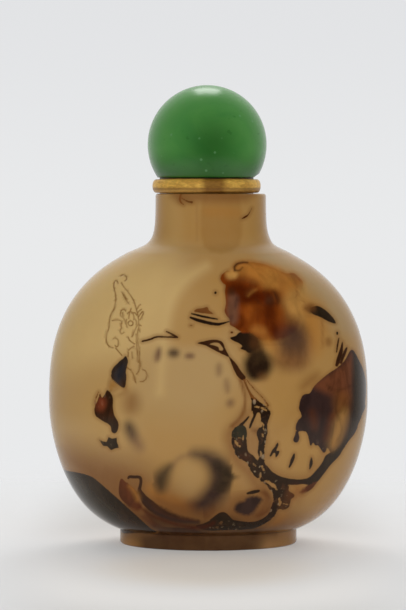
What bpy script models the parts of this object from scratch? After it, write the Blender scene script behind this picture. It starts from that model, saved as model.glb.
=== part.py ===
"""A carved agate snuff bottle, closed by a green stone stopper on a gilt collar with a cork.

Metres, +Z up. The origin is the middle of the foot's underside, and the front of the bottle faces -Y.
The body is an oval in plan. Its outline is one curve above its widest level and another below it.
"""

import math

import bmesh
import bpy

# Body
BODY_WIDTH = 0.0538
BODY_DEPTH = 0.0370
WIDEST_LEVEL = 0.0239
SHOULDER_RISE = 0.0281
BELLY_DROP = 0.0227
SHOULDER_POWERS = (2.00, 2.65)
BELLY_POWERS = (4.00, 1.72)

# Neck, carved a little off the body's middle, and its lip
NECK_DIAMETER = 0.0186
NECK_LENGTH = 0.0070
NECK_FLARE = 0.0005
NECK_FLARE_RUN = 0.00145
NECK_SHIFT = 0.0004
NECK_SHIFT_RUN = 0.0035
LIP_EDGE = 0.0004

# Oval foot with a hollowed underside
FOOT_WIDTH = 0.0299
FOOT_DEPTH = 0.0208
FOOT_RIM = 0.0023
FOOT_RECESS = 0.0010
FOOT_EDGE = 0.0004

# Hollow inside, which opens into the bore of the neck
BODY_WALL = 0.0032
FLOOR_THICKNESS = 0.0034
HOLLOW_EDGE = 0.0005
MOUTH_DIAMETER = 0.0066

# Stopper, collar and cork, which rest on the lip and in the mouth
SEAT_GAP = 0.0003
COLLAR_INSET = 0.0002
COLLAR_THICKNESS = 0.0021
COLLAR_EDGE = 0.0008
COLLAR_SHIFT = -0.0003
STOPPER_DIAMETER = 0.0200
STOPPER_HEIGHT = 0.0155
STOPPER_SHIFT = -0.0002
CHIP_DEPTH = 0.0011
CHIP_ANGLE = math.radians(-56)
CORK_LENGTH = 0.0040
CORK_CLEARANCE = 0.0003
CORK_TAPER = 0.0003

# How finely each piece is faceted, and how far a cutter runs past what it cuts
BOTTLE_SEGMENTS = 60
BODY_RINGS = 34
HOLLOW_SEGMENTS = 40
HOLLOW_RINGS = 16
STOPPER_SEGMENTS = 44
STOPPER_RINGS = 22
COLLAR_SEGMENTS = 48
CORK_SEGMENTS = 24
EDGE_STEPS = 3
OUTLINE_SAMPLES = 600
CORNER_POWER = 24
SMOOTH_ANGLE = math.radians(40)
CUT_OVERRUN = 0.001

# Levels and sizes that follow from those above
SHOULDER_TOP = WIDEST_LEVEL + SHOULDER_RISE
LIP_LEVEL = SHOULDER_TOP + NECK_LENGTH
NECK_RADIUS = NECK_DIAMETER / 2
MOUTH_RADIUS = MOUTH_DIAMETER / 2
HOLLOW_FLOOR = FOOT_RECESS + FLOOR_THICKNESS
COLLAR_RADIUS = NECK_RADIUS - COLLAR_INSET
COLLAR_BOTTOM = LIP_LEVEL + SEAT_GAP
COLLAR_TOP = COLLAR_BOTTOM + COLLAR_THICKNESS
STOPPER_RADIUS = STOPPER_DIAMETER / 2
STOPPER_BASE = COLLAR_TOP + SEAT_GAP
STOPPER_CENTRE = STOPPER_BASE + STOPPER_HEIGHT - STOPPER_RADIUS


def clear_scene():
    for old in list(bpy.data.objects):
        bpy.data.objects.remove(old)


def add_collection(name):
    made = bpy.data.collections.new(name)
    bpy.context.scene.collection.children.link(made)
    return made


def add_material(name, colour, roughness, metallic=0.0):
    """A plain material of a colour in linear red, green and blue."""
    material = bpy.data.materials.new(name)
    material.use_nodes = True
    shader = material.node_tree.nodes["Principled BSDF"]
    shader.inputs["Base Color"].default_value = (*colour, 1.0)
    shader.inputs["Roughness"].default_value = roughness
    shader.inputs["Metallic"].default_value = metallic
    return material


def smooth_step(share):
    share = min(max(share, 0.0), 1.0)
    return share * share * (3 - 2 * share)


def oval_reach(level, half_width, rise, drop):
    """How far a bulging outline stands from the middle at a level, by its powers above and below."""
    above = level > WIDEST_LEVEL
    across, upright = SHOULDER_POWERS if above else BELLY_POWERS
    share = abs(level - WIDEST_LEVEL) / (rise if above else drop)
    return half_width * max(1 - share**upright, 0.0) ** (1 / across)


def soft_larger(one, other):
    """The larger of two sizes, with the corner between them rounded a little."""
    return (one**CORNER_POWER + other**CORNER_POWER) ** (1 / CORNER_POWER)


def depth_beside(reach, widest, deepest, end_width, end_depth):
    """The half depth that goes with a half width, between an end of the body and its widest level."""
    share = (reach - end_width) / (widest - end_width)
    return end_depth + (deepest - end_depth) * share


def neck_shift(level):
    """How far the neck has drifted from the body's middle at a level."""
    return NECK_SHIFT * smooth_step((level - SHOULDER_TOP + NECK_SHIFT_RUN) / NECK_SHIFT_RUN)


def body_reach(level):
    """The body's half width at a level. Its neck flares a little where the shoulder starts."""
    outline = oval_reach(level, BODY_WIDTH / 2, SHOULDER_RISE, BELLY_DROP)
    if level <= WIDEST_LEVEL:
        return outline
    above_shoulder = max(level - SHOULDER_TOP, -2 * NECK_FLARE_RUN)
    return soft_larger(outline, NECK_RADIUS + NECK_FLARE * math.exp(-above_shoulder / NECK_FLARE_RUN))


def hollow_reach(level):
    outline = oval_reach(
        level, BODY_WIDTH / 2 - BODY_WALL, SHOULDER_RISE - BODY_WALL, WIDEST_LEVEL - HOLLOW_FLOOR
    )
    return outline if level <= WIDEST_LEVEL else soft_larger(outline, MOUTH_RADIUS)


def even_levels(reach_at, low, high, count):
    """Levels from low to high, spaced evenly along the outline that reach_at(level) describes."""
    levels = [low + (high - low) * i / OUTLINE_SAMPLES for i in range(OUTLINE_SAMPLES + 1)]
    run = [0.0]
    for start, end in zip(levels, levels[1:]):
        run.append(run[-1] + math.hypot(end - start, reach_at(end) - reach_at(start)))
    found, at = [], 0
    for i in range(count + 1):
        wanted = run[-1] * i / count
        while at < OUTLINE_SAMPLES - 1 and run[at + 1] < wanted:
            at += 1
        part = (wanted - run[at]) / (run[at + 1] - run[at])
        found.append(levels[at] + (levels[at + 1] - levels[at]) * part)
    return found


def round_edge(reach, level, radius, start, end):
    """(reach, level) points round an edge with that centre, from one angle to another in degrees."""
    points = []
    for i in range(EDGE_STEPS + 1):
        angle = math.radians(start + (end - start) * i / EDGE_STEPS)
        points.append((reach + radius * math.cos(angle), level + radius * math.sin(angle)))
    return points


def foot_rings():
    """The foot, from the wall of its recess round its rim and up its side."""
    outer = FOOT_WIDTH / 2
    inner = outer - FOOT_RIM
    profile = [(inner, FOOT_RECESS)]
    profile += round_edge(inner + FOOT_EDGE, FOOT_EDGE, FOOT_EDGE, 180, 270)
    profile += round_edge(outer - FOOT_EDGE, FOOT_EDGE, FOOT_EDGE, 270, 360)
    return [(reach, reach - outer + FOOT_DEPTH / 2, level, 0.0) for reach, level in profile]


def belly_start():
    """The level where the belly has narrowed to the width of the foot."""
    across, upright = BELLY_POWERS
    share = (FOOT_WIDTH / BODY_WIDTH) ** across
    return WIDEST_LEVEL - BELLY_DROP * (1 - share) ** (1 / upright)


def body_rings():
    """The belly, shoulder and neck, up to the lip's edge."""
    rings = []
    for level in even_levels(body_reach, belly_start(), LIP_LEVEL - LIP_EDGE, BODY_RINGS):
        reach = body_reach(level)
        end = (NECK_RADIUS, NECK_RADIUS) if level > WIDEST_LEVEL else (FOOT_WIDTH / 2, FOOT_DEPTH / 2)
        depth = depth_beside(reach, BODY_WIDTH / 2, BODY_DEPTH / 2, *end)
        rings.append((reach, depth, level, neck_shift(level)))
    return rings


def lip_rings():
    edge = round_edge(NECK_RADIUS - LIP_EDGE, LIP_LEVEL - LIP_EDGE, LIP_EDGE, 0, 90)
    return [(reach, reach, level, NECK_SHIFT) for reach, level in edge[1:]]


def hollow_rings():
    """The space inside, from its floor up through the mouth and out past the lip."""
    widest, deepest = BODY_WIDTH / 2 - BODY_WALL, BODY_DEPTH / 2 - BODY_WALL
    rings = []
    for level in even_levels(hollow_reach, HOLLOW_FLOOR + HOLLOW_EDGE, SHOULDER_TOP, HOLLOW_RINGS):
        reach = hollow_reach(level)
        end = (MOUTH_RADIUS, MOUTH_RADIUS) if level > WIDEST_LEVEL else (0.0, 0.0)
        rings.append((reach, depth_beside(reach, widest, deepest, *end), level, neck_shift(level)))
    rings.append((MOUTH_RADIUS, MOUTH_RADIUS, LIP_LEVEL + CUT_OVERRUN, NECK_SHIFT))
    return rings


def oval_skin(rings, segments):
    """A closed skin through rings of (half width, half depth, level, shift), flat at both ends."""
    mesh = bmesh.new()
    half_width, half_depth, level, shift = rings[0]
    circle = bmesh.ops.create_circle(mesh, cap_ends=False, radius=1.0, segments=segments)
    bmesh.ops.scale(mesh, vec=(half_width, half_depth, 1), verts=circle["verts"])
    bmesh.ops.translate(mesh, vec=(shift, 0, level), verts=circle["verts"])
    loop = list(mesh.edges)
    for before, after in zip(rings, rings[1:]):
        grown = bmesh.ops.extrude_edge_only(mesh, edges=loop)["geom"]
        loop = [item for item in grown if isinstance(item, bmesh.types.BMEdge)]
        corners = [item for item in grown if isinstance(item, bmesh.types.BMVert)]
        growth = (after[0] / before[0], after[1] / before[1], 1)
        bmesh.ops.translate(mesh, vec=(-before[3], 0, -before[2]), verts=corners)
        bmesh.ops.scale(mesh, vec=growth, verts=corners)
        bmesh.ops.translate(mesh, vec=(after[3], 0, after[2]), verts=corners)
    bmesh.ops.holes_fill(mesh, edges=mesh.edges, sides=segments)
    bmesh.ops.recalc_face_normals(mesh, faces=mesh.faces)
    return mesh


def add_piece(name, mesh, group, material=None, place=(0, 0, 0)):
    """Makes an object of a bmesh, smooth where it is round and sharp at its edges."""
    data = bpy.data.meshes.new(name)
    mesh.to_mesh(data)
    mesh.free()
    data.shade_smooth()
    data.set_sharp_from_angle(angle=SMOOTH_ANGLE)
    piece = bpy.data.objects.new(name, data)
    piece.location = place
    group.objects.link(piece)
    if material:
        data.materials.append(material)
    return piece


def add_bottle(group, cutters, stone):
    rings = foot_rings() + body_rings() + lip_rings()
    bottle = add_piece("bottle", oval_skin(rings, BOTTLE_SEGMENTS), group, stone)
    hollow = add_piece("hollow", oval_skin(hollow_rings(), HOLLOW_SEGMENTS), cutters)
    hollow.hide_render = True
    hollow.display_type = "WIRE"
    cut = bottle.modifiers.new("Hollow", "BOOLEAN")
    cut.operation = "DIFFERENCE"
    cut.solver = "EXACT"
    cut.object = hollow


def add_collar(group, gilt):
    """A turned disc with a bulging edge, seated on the lip."""
    profile = [(0.0, COLLAR_TOP)]
    half = COLLAR_THICKNESS / 2
    for i in range(2 * EDGE_STEPS + 1):
        angle = math.radians(90 - 90 * i / EDGE_STEPS)
        reach = COLLAR_RADIUS - COLLAR_EDGE * (1 - math.cos(angle))
        profile.append((reach, COLLAR_BOTTOM + half * (1 + math.sin(angle))))
    profile.append((0.0, COLLAR_BOTTOM))
    mesh = bmesh.new()
    corners = [mesh.verts.new((reach, 0, level)) for reach, level in profile]
    for start, end in zip(corners, corners[1:]):
        mesh.edges.new((start, end))
    collar = add_piece("collar", mesh, group, gilt, (COLLAR_SHIFT, 0, 0))
    turn = collar.modifiers.new("Turn", "SCREW")
    turn.steps = turn.render_steps = COLLAR_SEGMENTS
    turn.use_merge_vertices = True
    turn.merge_threshold = 1e-5
    turn.use_smooth_shade = True


def cut_flat(mesh, point, facing):
    """Cuts away what lies beyond a plane and closes the cut with a flat face."""
    everything = list(mesh.verts) + list(mesh.edges) + list(mesh.faces)
    cut = bmesh.ops.bisect_plane(
        mesh, geom=everything, plane_co=point, plane_no=facing, clear_outer=True
    )
    rim = [item for item in cut["geom_cut"] if isinstance(item, bmesh.types.BMEdge)]
    bmesh.ops.edgeloop_fill(mesh, edges=rim)
    bmesh.ops.recalc_face_normals(mesh, faces=mesh.faces)


def add_stopper(group, green):
    """A ball cut flat where it sits on the collar, with a small chip off the right of that edge."""
    mesh = bmesh.new()
    bmesh.ops.create_uvsphere(
        mesh, u_segments=STOPPER_SEGMENTS, v_segments=STOPPER_RINGS, radius=STOPPER_RADIUS
    )
    cut_flat(mesh, (0, 0, STOPPER_BASE - STOPPER_CENTRE), (0, 0, -1))
    facing = (math.cos(CHIP_ANGLE), 0, math.sin(CHIP_ANGLE))
    cut_flat(mesh, [(STOPPER_RADIUS - CHIP_DEPTH) * share for share in facing], facing)
    add_piece("stopper", mesh, group, green, (STOPPER_SHIFT, 0, STOPPER_CENTRE))


def add_cork(group, cork):
    """The cork under the collar, which holds the stopper in the mouth."""
    radius = MOUTH_RADIUS - CORK_CLEARANCE
    top = COLLAR_BOTTOM - SEAT_GAP
    mesh = bmesh.new()
    bmesh.ops.create_cone(
        mesh,
        cap_ends=True,
        segments=CORK_SEGMENTS,
        radius1=radius - CORK_TAPER,
        radius2=radius,
        depth=CORK_LENGTH,
    )
    add_piece("stopper_cork", mesh, group, cork, (NECK_SHIFT, 0, top - CORK_LENGTH / 2))


def main():
    clear_scene()
    group = add_collection("Snuff bottle")
    cutters = add_collection("Cutters")
    stone = add_material("Agate", (0.42, 0.29, 0.155), 0.16)
    green = add_material("Green stone", (0.06, 0.22, 0.06), 0.14)
    gilt = add_material("Gilt metal", (0.72, 0.44, 0.10), 0.32, 1.0)
    cork = add_material("Cork", (0.36, 0.20, 0.09), 0.85)
    add_bottle(group, cutters, stone)
    add_collar(group, gilt)
    add_stopper(group, green)
    add_cork(group, cork)


main()
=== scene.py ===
"""The looks of a carved agate snuff bottle with a green stone stopper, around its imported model.

Sizes are in metres. The stone's markings are drawn as they stand in the photograph, in its pixels (one is
about 0.17 mm on the bottle), and are carried onto the stone along the lines of sight of the camera.
"""
import math

import bmesh
import bpy
import numpy as np
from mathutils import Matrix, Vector


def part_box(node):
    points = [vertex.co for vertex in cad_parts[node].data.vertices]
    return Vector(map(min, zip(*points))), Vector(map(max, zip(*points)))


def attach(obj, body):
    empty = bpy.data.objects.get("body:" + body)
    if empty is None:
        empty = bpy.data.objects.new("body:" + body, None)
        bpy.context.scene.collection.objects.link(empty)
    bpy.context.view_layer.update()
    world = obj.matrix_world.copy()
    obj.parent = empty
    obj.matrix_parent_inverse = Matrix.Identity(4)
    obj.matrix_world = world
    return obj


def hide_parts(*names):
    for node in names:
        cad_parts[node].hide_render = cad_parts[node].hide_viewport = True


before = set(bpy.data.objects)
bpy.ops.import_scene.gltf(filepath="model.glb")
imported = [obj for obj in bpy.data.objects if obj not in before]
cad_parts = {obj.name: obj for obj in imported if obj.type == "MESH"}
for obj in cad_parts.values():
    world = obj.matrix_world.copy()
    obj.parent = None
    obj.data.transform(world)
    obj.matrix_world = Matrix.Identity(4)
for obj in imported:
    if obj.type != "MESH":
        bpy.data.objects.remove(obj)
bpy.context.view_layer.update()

# The camera and the photograph's frame
PICTURE_WIDTH, PICTURE_HEIGHT = 406, 610
LENS_MM, SENSOR_MM = 145.4, 36.0
CAMERA_DISTANCE = 0.415
CAMERA_HEIGHT = 0.0598
CAMERA_ASIDE = -0.0009
CAMERA_PITCH = math.radians(2.7)
FOCAL_PIXELS = LENS_MM / SENSOR_MM * PICTURE_HEIGHT

# The bottle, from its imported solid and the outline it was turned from
BOTTLE_LOW, BOTTLE_HIGH = (Vector(corner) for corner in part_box("bottle"))
HALF_WIDTH = (BOTTLE_HIGH.x - BOTTLE_LOW.x) / 2
HALF_DEPTH = (BOTTLE_HIGH.y - BOTTLE_LOW.y) / 2
LIP_LEVEL = BOTTLE_HIGH.z
WIDEST_LEVEL = 0.0239
SHOULDER_RISE = 0.0281
BELLY_DROP = 0.0227
SHOULDER_TOP = WIDEST_LEVEL + SHOULDER_RISE
SHOULDER_POWERS = (2.00, 2.65)
BELLY_POWERS = (4.00, 1.72)
CORNER_POWER = 24
NECK_RADIUS = 0.0093
NECK_FLARE = 0.0005
NECK_FLARE_RUN = 0.00145
NECK_SHIFT = 0.0004
NECK_SHIFT_RUN = 0.0035
LIP_EDGE = 0.0004
FOOT_HALF_WIDTH = 0.01495
FOOT_HALF_DEPTH = 0.0104
FOOT_RIM = 0.0023
FOOT_RECESS = 0.0010
FOOT_EDGE = 0.0005
WALL = 0.0032
FLOOR_LEVEL = 0.0044
MOUTH_RADIUS = 0.0033

# How finely the bottle is meshed: its front has most of the columns, because the markings are there
COLUMNS = 240
FRONT_CROWDING = 0.45
BODY_RINGS = 176
HOLLOW_RINGS = 26
EDGE_STEPS = 5
OUTLINE_SAMPLES = 2000
FINE_REACH = 2.2
FINEST_REACH = 1.3
OUTSIDE_RADIUS = 0.93
GROOVE_DEPTH = 0.00009

# Stone colours as they look, in red, green and blue out of 255
BLACK = (42, 26, 14)
MOULD = (46, 42, 28)
UMBER = (62, 34, 16)
PLUM = (54, 36, 32)
EMBER = (76, 22, 0)
RUSSET = (92, 44, 16)
CINNAMON = (110, 62, 36)
BURNT = (122, 54, 8)
RUST = (138, 66, 38)
FIRE = (144, 72, 16)
CHESTNUT = (118, 70, 30)
ORANGE = (172, 110, 44)
AMBER = (176, 118, 50)
HONEY = (184, 134, 68)
BROWN = (126, 82, 42)
TAWNY = (174, 132, 72)
OCHRE = (184, 146, 88)
DRAB = (172, 146, 106)
STRAW = (206, 173, 114)
BUFF = (182, 149, 98)
CARAMEL = (156, 112, 56)
SMOKE = (46, 33, 20)
MOSS = (92, 86, 74)
SLATE = (66, 52, 42)
NIGHT = (38, 40, 48)
MAUVE = (112, 80, 60)
PALE = (178, 148, 108)


def linear(colour):
    """A colour out of 255 as linear red, green, blue and full alpha."""
    shares = [channel / 255 for channel in colour]
    curve = [share / 12.92 if share <= 0.04045 else ((share + 0.055) / 1.055) ** 2.4 for share in shares]
    return (*curve, 1.0)


def smooth_step(share):
    share = np.clip(share, 0.0, 1.0)
    return share * share * (3 - 2 * share)


# Outline of the bottle


def oval_reach(level, half_width, rise, drop):
    """How far a bulging outline stands from the middle at a level."""
    above = level > WIDEST_LEVEL
    across = np.where(above, SHOULDER_POWERS[0], BELLY_POWERS[0])
    upright = np.where(above, SHOULDER_POWERS[1], BELLY_POWERS[1])
    share = np.abs(level - WIDEST_LEVEL) / np.where(above, rise, drop)
    return half_width * np.clip(1 - share**upright, 0.0, 1.0) ** (1 / across)


def soft_larger(one, other):
    """The larger of two sizes, with the corner between them rounded a little."""
    return (one**CORNER_POWER + other**CORNER_POWER) ** (1 / CORNER_POWER)


def depth_beside(reach, widest, deepest, end_width, end_depth):
    """The half depth that goes with a half width, between an end of the body and its widest level."""
    return end_depth + (deepest - end_depth) * (reach - end_width) / (widest - end_width)


def neck_shift(level):
    return NECK_SHIFT * smooth_step((level - SHOULDER_TOP + NECK_SHIFT_RUN) / NECK_SHIFT_RUN)


def body_reach(level):
    outline = oval_reach(level, HALF_WIDTH, SHOULDER_RISE, BELLY_DROP)
    above_shoulder = np.maximum(level - SHOULDER_TOP, -2 * NECK_FLARE_RUN)
    neck = NECK_RADIUS + NECK_FLARE * np.exp(-above_shoulder / NECK_FLARE_RUN)
    return np.where(level > WIDEST_LEVEL, soft_larger(outline, neck), outline)


def body_depth(level, reach):
    above = depth_beside(reach, HALF_WIDTH, HALF_DEPTH, NECK_RADIUS, NECK_RADIUS)
    below = depth_beside(reach, HALF_WIDTH, HALF_DEPTH, FOOT_HALF_WIDTH, FOOT_HALF_DEPTH)
    return np.where(level > WIDEST_LEVEL, above, below)


def hollow_reach(level):
    outline = oval_reach(level, HALF_WIDTH - WALL, SHOULDER_RISE - WALL, WIDEST_LEVEL - FLOOR_LEVEL)
    return np.where(level > WIDEST_LEVEL, soft_larger(outline, MOUTH_RADIUS), outline)


def hollow_depth(level, reach):
    widest, deepest = HALF_WIDTH - WALL, HALF_DEPTH - WALL
    above = depth_beside(reach, widest, deepest, MOUTH_RADIUS, MOUTH_RADIUS)
    return np.where(level > WIDEST_LEVEL, above, reach * deepest / widest)


def even_levels(reach_at, low, high, count):
    """Levels from low to high, spaced evenly along the outline that reach_at(level) describes."""
    levels = np.linspace(low, high, OUTLINE_SAMPLES)
    steps = np.hypot(np.diff(levels), np.diff(reach_at(levels)))
    run = np.concatenate([[0.0], np.cumsum(steps)])
    return np.interp(np.linspace(0, run[-1], count + 1), run, levels)


def round_edge(reach, level, radius, start, end):
    """(reach, level) points round an edge with that centre, from one angle to another in degrees."""
    angles = np.radians(np.linspace(start, end, EDGE_STEPS + 1))
    return [(reach + radius * math.cos(a), level + radius * math.sin(a)) for a in angles]


def foot_rings():
    inner = FOOT_HALF_WIDTH - FOOT_RIM
    profile = [(inner - FOOT_EDGE, FOOT_RECESS)]
    profile += round_edge(inner + FOOT_EDGE, FOOT_EDGE, FOOT_EDGE, 180, 270)
    profile += round_edge(FOOT_HALF_WIDTH - FOOT_EDGE, FOOT_EDGE, FOOT_EDGE, 270, 360)
    return [(reach, reach - FOOT_HALF_WIDTH + FOOT_HALF_DEPTH, level, 0.0) for reach, level in profile]


def belly_start():
    """The level where the belly has narrowed to the width of the foot."""
    share = (FOOT_HALF_WIDTH / HALF_WIDTH) ** BELLY_POWERS[0]
    return WIDEST_LEVEL - BELLY_DROP * (1 - share) ** (1 / BELLY_POWERS[1])


def bottle_rings():
    """Rings of (half width, half depth, level, shift) from the foot's recess, up outside and down inside."""
    rings = foot_rings()
    levels = even_levels(body_reach, belly_start(), LIP_LEVEL - LIP_EDGE, BODY_RINGS)
    reaches = body_reach(levels)
    rings += zip(reaches, body_depth(levels, reaches), levels, neck_shift(levels))
    lip = round_edge(NECK_RADIUS - LIP_EDGE, LIP_LEVEL - LIP_EDGE, LIP_EDGE, 0, 90)
    lip += round_edge(MOUTH_RADIUS + LIP_EDGE, LIP_LEVEL - LIP_EDGE, LIP_EDGE, 90, 180)
    rings += [(reach, reach, level, NECK_SHIFT) for reach, level in lip[1:]]
    levels = even_levels(hollow_reach, FLOOR_LEVEL + LIP_EDGE, LIP_LEVEL - 2 * LIP_EDGE, HOLLOW_RINGS)[::-1]
    reaches = hollow_reach(levels)
    rings += zip(reaches, hollow_depth(levels, reaches), levels, neck_shift(levels))
    return rings


def oval_skin(rings, columns, crowding=0.0):
    """A closed skin through oval rings, flat at both ends, with its columns crowded towards the front."""
    mesh = bmesh.new()
    circle = bmesh.ops.create_circle(mesh, cap_ends=False, radius=1.0, segments=columns)["verts"]
    for corner in circle:
        turn = math.atan2(corner.co.x, -corner.co.y)
        turn -= crowding * math.sin(turn)
        corner.co = (math.sin(turn), -math.cos(turn), 0)
    half_width, half_depth, level, shift = rings[0]
    bmesh.ops.scale(mesh, vec=(half_width, half_depth, 1), verts=circle)
    bmesh.ops.translate(mesh, vec=(shift, 0, level), verts=circle)
    loop = list(mesh.edges)
    for before, after in zip(rings, rings[1:]):
        grown = bmesh.ops.extrude_edge_only(mesh, edges=loop)["geom"]
        loop = [item for item in grown if isinstance(item, bmesh.types.BMEdge)]
        corners = [item for item in grown if isinstance(item, bmesh.types.BMVert)]
        bmesh.ops.translate(mesh, vec=(-before[3], 0, -before[2]), verts=corners)
        bmesh.ops.scale(mesh, vec=(after[0] / before[0], after[1] / before[1], 1), verts=corners)
        bmesh.ops.translate(mesh, vec=(after[3], 0, after[2]), verts=corners)
    bmesh.ops.holes_fill(mesh, edges=mesh.edges, sides=columns)
    bmesh.ops.recalc_face_normals(mesh, faces=mesh.faces)
    return mesh


# Markings, drawn in the photograph's pixels

SPOT_CORNERS = 10
FADED_SHARE = 0.8
FADE_STEEPNESS = 1.6


def picture_place(points):
    """Where points of the object fall in the photograph, in pixels from its top left corner."""
    away = points[:, 1] + CAMERA_DISTANCE
    up = points[:, 2] - CAMERA_HEIGHT
    depth = away * math.cos(CAMERA_PITCH) - up * math.sin(CAMERA_PITCH)
    rise = up * math.cos(CAMERA_PITCH) + away * math.sin(CAMERA_PITCH)
    across = PICTURE_WIDTH / 2 + FOCAL_PIXELS * (points[:, 0] - CAMERA_ASIDE) / depth
    return np.column_stack([across, PICTURE_HEIGHT / 2 - FOCAL_PIXELS * rise / depth])


def rounded(points, closed, steps=4):
    """More points along a smooth curve through the given ones."""
    points = np.array(points, float)
    count = len(points)
    if closed:
        padded = np.vstack([points[-1], points, points[:2]])
    else:
        padded = np.vstack([points[0], points, points[-1]])
    curve = []
    for i in range(count if closed else count - 1):
        before, start, end, after = padded[i : i + 4]
        for share in np.arange(steps) / steps:
            curve.append(
                0.5 * (2 * start + (end - before) * share
                       + (2 * before - 5 * start + 4 * end - after) * share**2
                       + (3 * start - before - 3 * end + after) * share**3)
            )
    return np.array(curve if closed else curve + [points[-1]])


def line_distance(places, stroke):
    """Distance to a line of (x, y, half width) points, less than zero inside its width."""
    nearest = np.full(len(places), np.inf)
    for start, end in zip(stroke, stroke[1:]):
        run = end[:2] - start[:2]
        share = np.clip((places - start[:2]) @ run / max(run @ run, 1e-9), 0, 1)
        gap = np.linalg.norm(places - start[:2] - share[:, None] * run, axis=1)
        nearest = np.minimum(nearest, gap - start[2] - (end[2] - start[2]) * share)
    return nearest


def patch_distance(places, corners):
    """Distance to a closed outline, less than zero inside it."""
    nearest = np.full(len(places), np.inf)
    inside = np.zeros(len(places), bool)
    for start, end in zip(corners, np.roll(corners, -1, axis=0)):
        run = end - start
        share = np.clip((places - start) @ run / max(run @ run, 1e-9), 0, 1)
        nearest = np.minimum(nearest, np.linalg.norm(places - start - share[:, None] * run, axis=1))
        crosses = (start[1] > places[:, 1]) != (end[1] > places[:, 1])
        with np.errstate(divide="ignore", invalid="ignore"):
            edge = start[0] + (places[:, 1] - start[1]) / (end[1] - start[1]) * run[0]
        inside ^= crosses & (places[:, 0] < edge)
    return np.where(inside, -nearest, nearest)


class Mark:
    """One marking: a line of (x, y, half width) points, or the outline of a patch."""

    def __init__(self, colour, points, soft=0.0, strength=1.0, angular=False, fades=None):
        self.colour = colour
        self.soft = soft
        self.strength = strength
        self.fades = fades
        self.is_line = len(points[0]) == 3
        self.points = np.array(points, float) if angular else rounded(points, not self.is_line)

    def distance(self, places, reach):
        """Distance to the mark, worked out only where it is nearer than reach."""
        low = self.points[:, :2].min(axis=0) - reach
        high = self.points[:, :2].max(axis=0) + reach
        near = np.all((places > low) & (places < high), axis=1)
        found = np.full(len(places), float(reach))
        measure = line_distance if self.is_line else patch_distance
        distance = measure(places[near], self.points)
        if self.fades:
            # A crisp edge turns soft towards the middle of a place where the marking fades
            x, y, spread = self.fades
            from_middle = np.hypot(places[near, 0] - x, places[near, 1] - y)
            distance *= 1 - FADED_SHARE * smooth_step(FADE_STEEPNESS * (1 - from_middle / spread))
        found[near] = np.minimum(distance, reach)
        return found


def spot(colour, x, y, half_width, half_height, lean=0.0, **more):
    """A round or oval patch, leaning by an angle in degrees."""
    points = []
    turn = math.radians(lean)
    for i in range(SPOT_CORNERS):
        angle = 2 * math.pi * i / SPOT_CORNERS
        across, down = half_width * math.cos(angle), half_height * math.sin(angle)
        points.append((x + across * math.cos(turn) - down * math.sin(turn),
                       y + across * math.sin(turn) + down * math.cos(turn)))
    return Mark(colour, points, **more)


# Crisp dark markings near the front of the stone
ZIGZAG = [
    Mark(UMBER, [(142.3, 341.3, 0.9), (150, 339.4, 0.9), (157, 336.8, 0.9), (168, 337, 0.8),
        (177, 337.2, 1.0)]),
    Mark(UMBER, [(177.5, 337.3, 0.9), (172.4, 334.4, 0.9), (166.5, 331.6, 0.7)]),
]
WHISKERS = [
    Mark(BLACK, [(191.6, 313.6, 0.7), (198, 315.3, 1.0), (208, 317.5, 1.0), (217.5, 319.2, 0.7)]),
    Mark(BLACK, [(190.5, 317.4, 1.0), (198, 320.2, 1.6), (208, 322.8, 1.6), (217, 324.2, 1.5),
        (222.5, 323.4, 1.1), (230, 321.2, 0.4)]),
    Mark(CHESTNUT, [(194.5, 311.6), (197, 308.8), (202.5, 308.2), (207.3, 307), (209.2, 310.6),
        (213.6, 314), (205.4, 313.4)]),
    spot(BLACK, 215.5, 292.8, 1.2, 1.4),
    spot(RUSSET, 231.8, 332.4, 1.5, 1.0),
    spot(CHESTNUT, 191.2, 325.4, 1.4, 0.6),
]
EYE_AND_STEM = [
    Mark(UMBER, [(197.5, 343.2), (204.1, 341.2), (212.8, 339.7), (219.6, 340.5), (223.2, 343.2),
        (225.2, 348.5), (229, 356.5), (224.6, 355.2), (219, 352.6), (212.1, 349), (205.4, 345.4)]),
    Mark(UMBER, [(227.4, 354), (232, 359.4), (236.5, 364), (241.2, 371.4), (245.8, 377.6), (242.4, 380.2),
        (237, 375.6), (233.4, 368.6), (230.6, 361.4)]),
    Mark(CHESTNUT, [(243, 377.4, 1.0), (247.2, 387.6, 0.9), (251, 395, 1.3), (254, 400, 2.2)]),
    Mark(CHESTNUT, [(246.4, 379.6, 0.6), (254.6, 389.6, 0.5), (262.6, 397.6, 0.5), (268.2, 405.6, 0.9)]),
]
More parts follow.
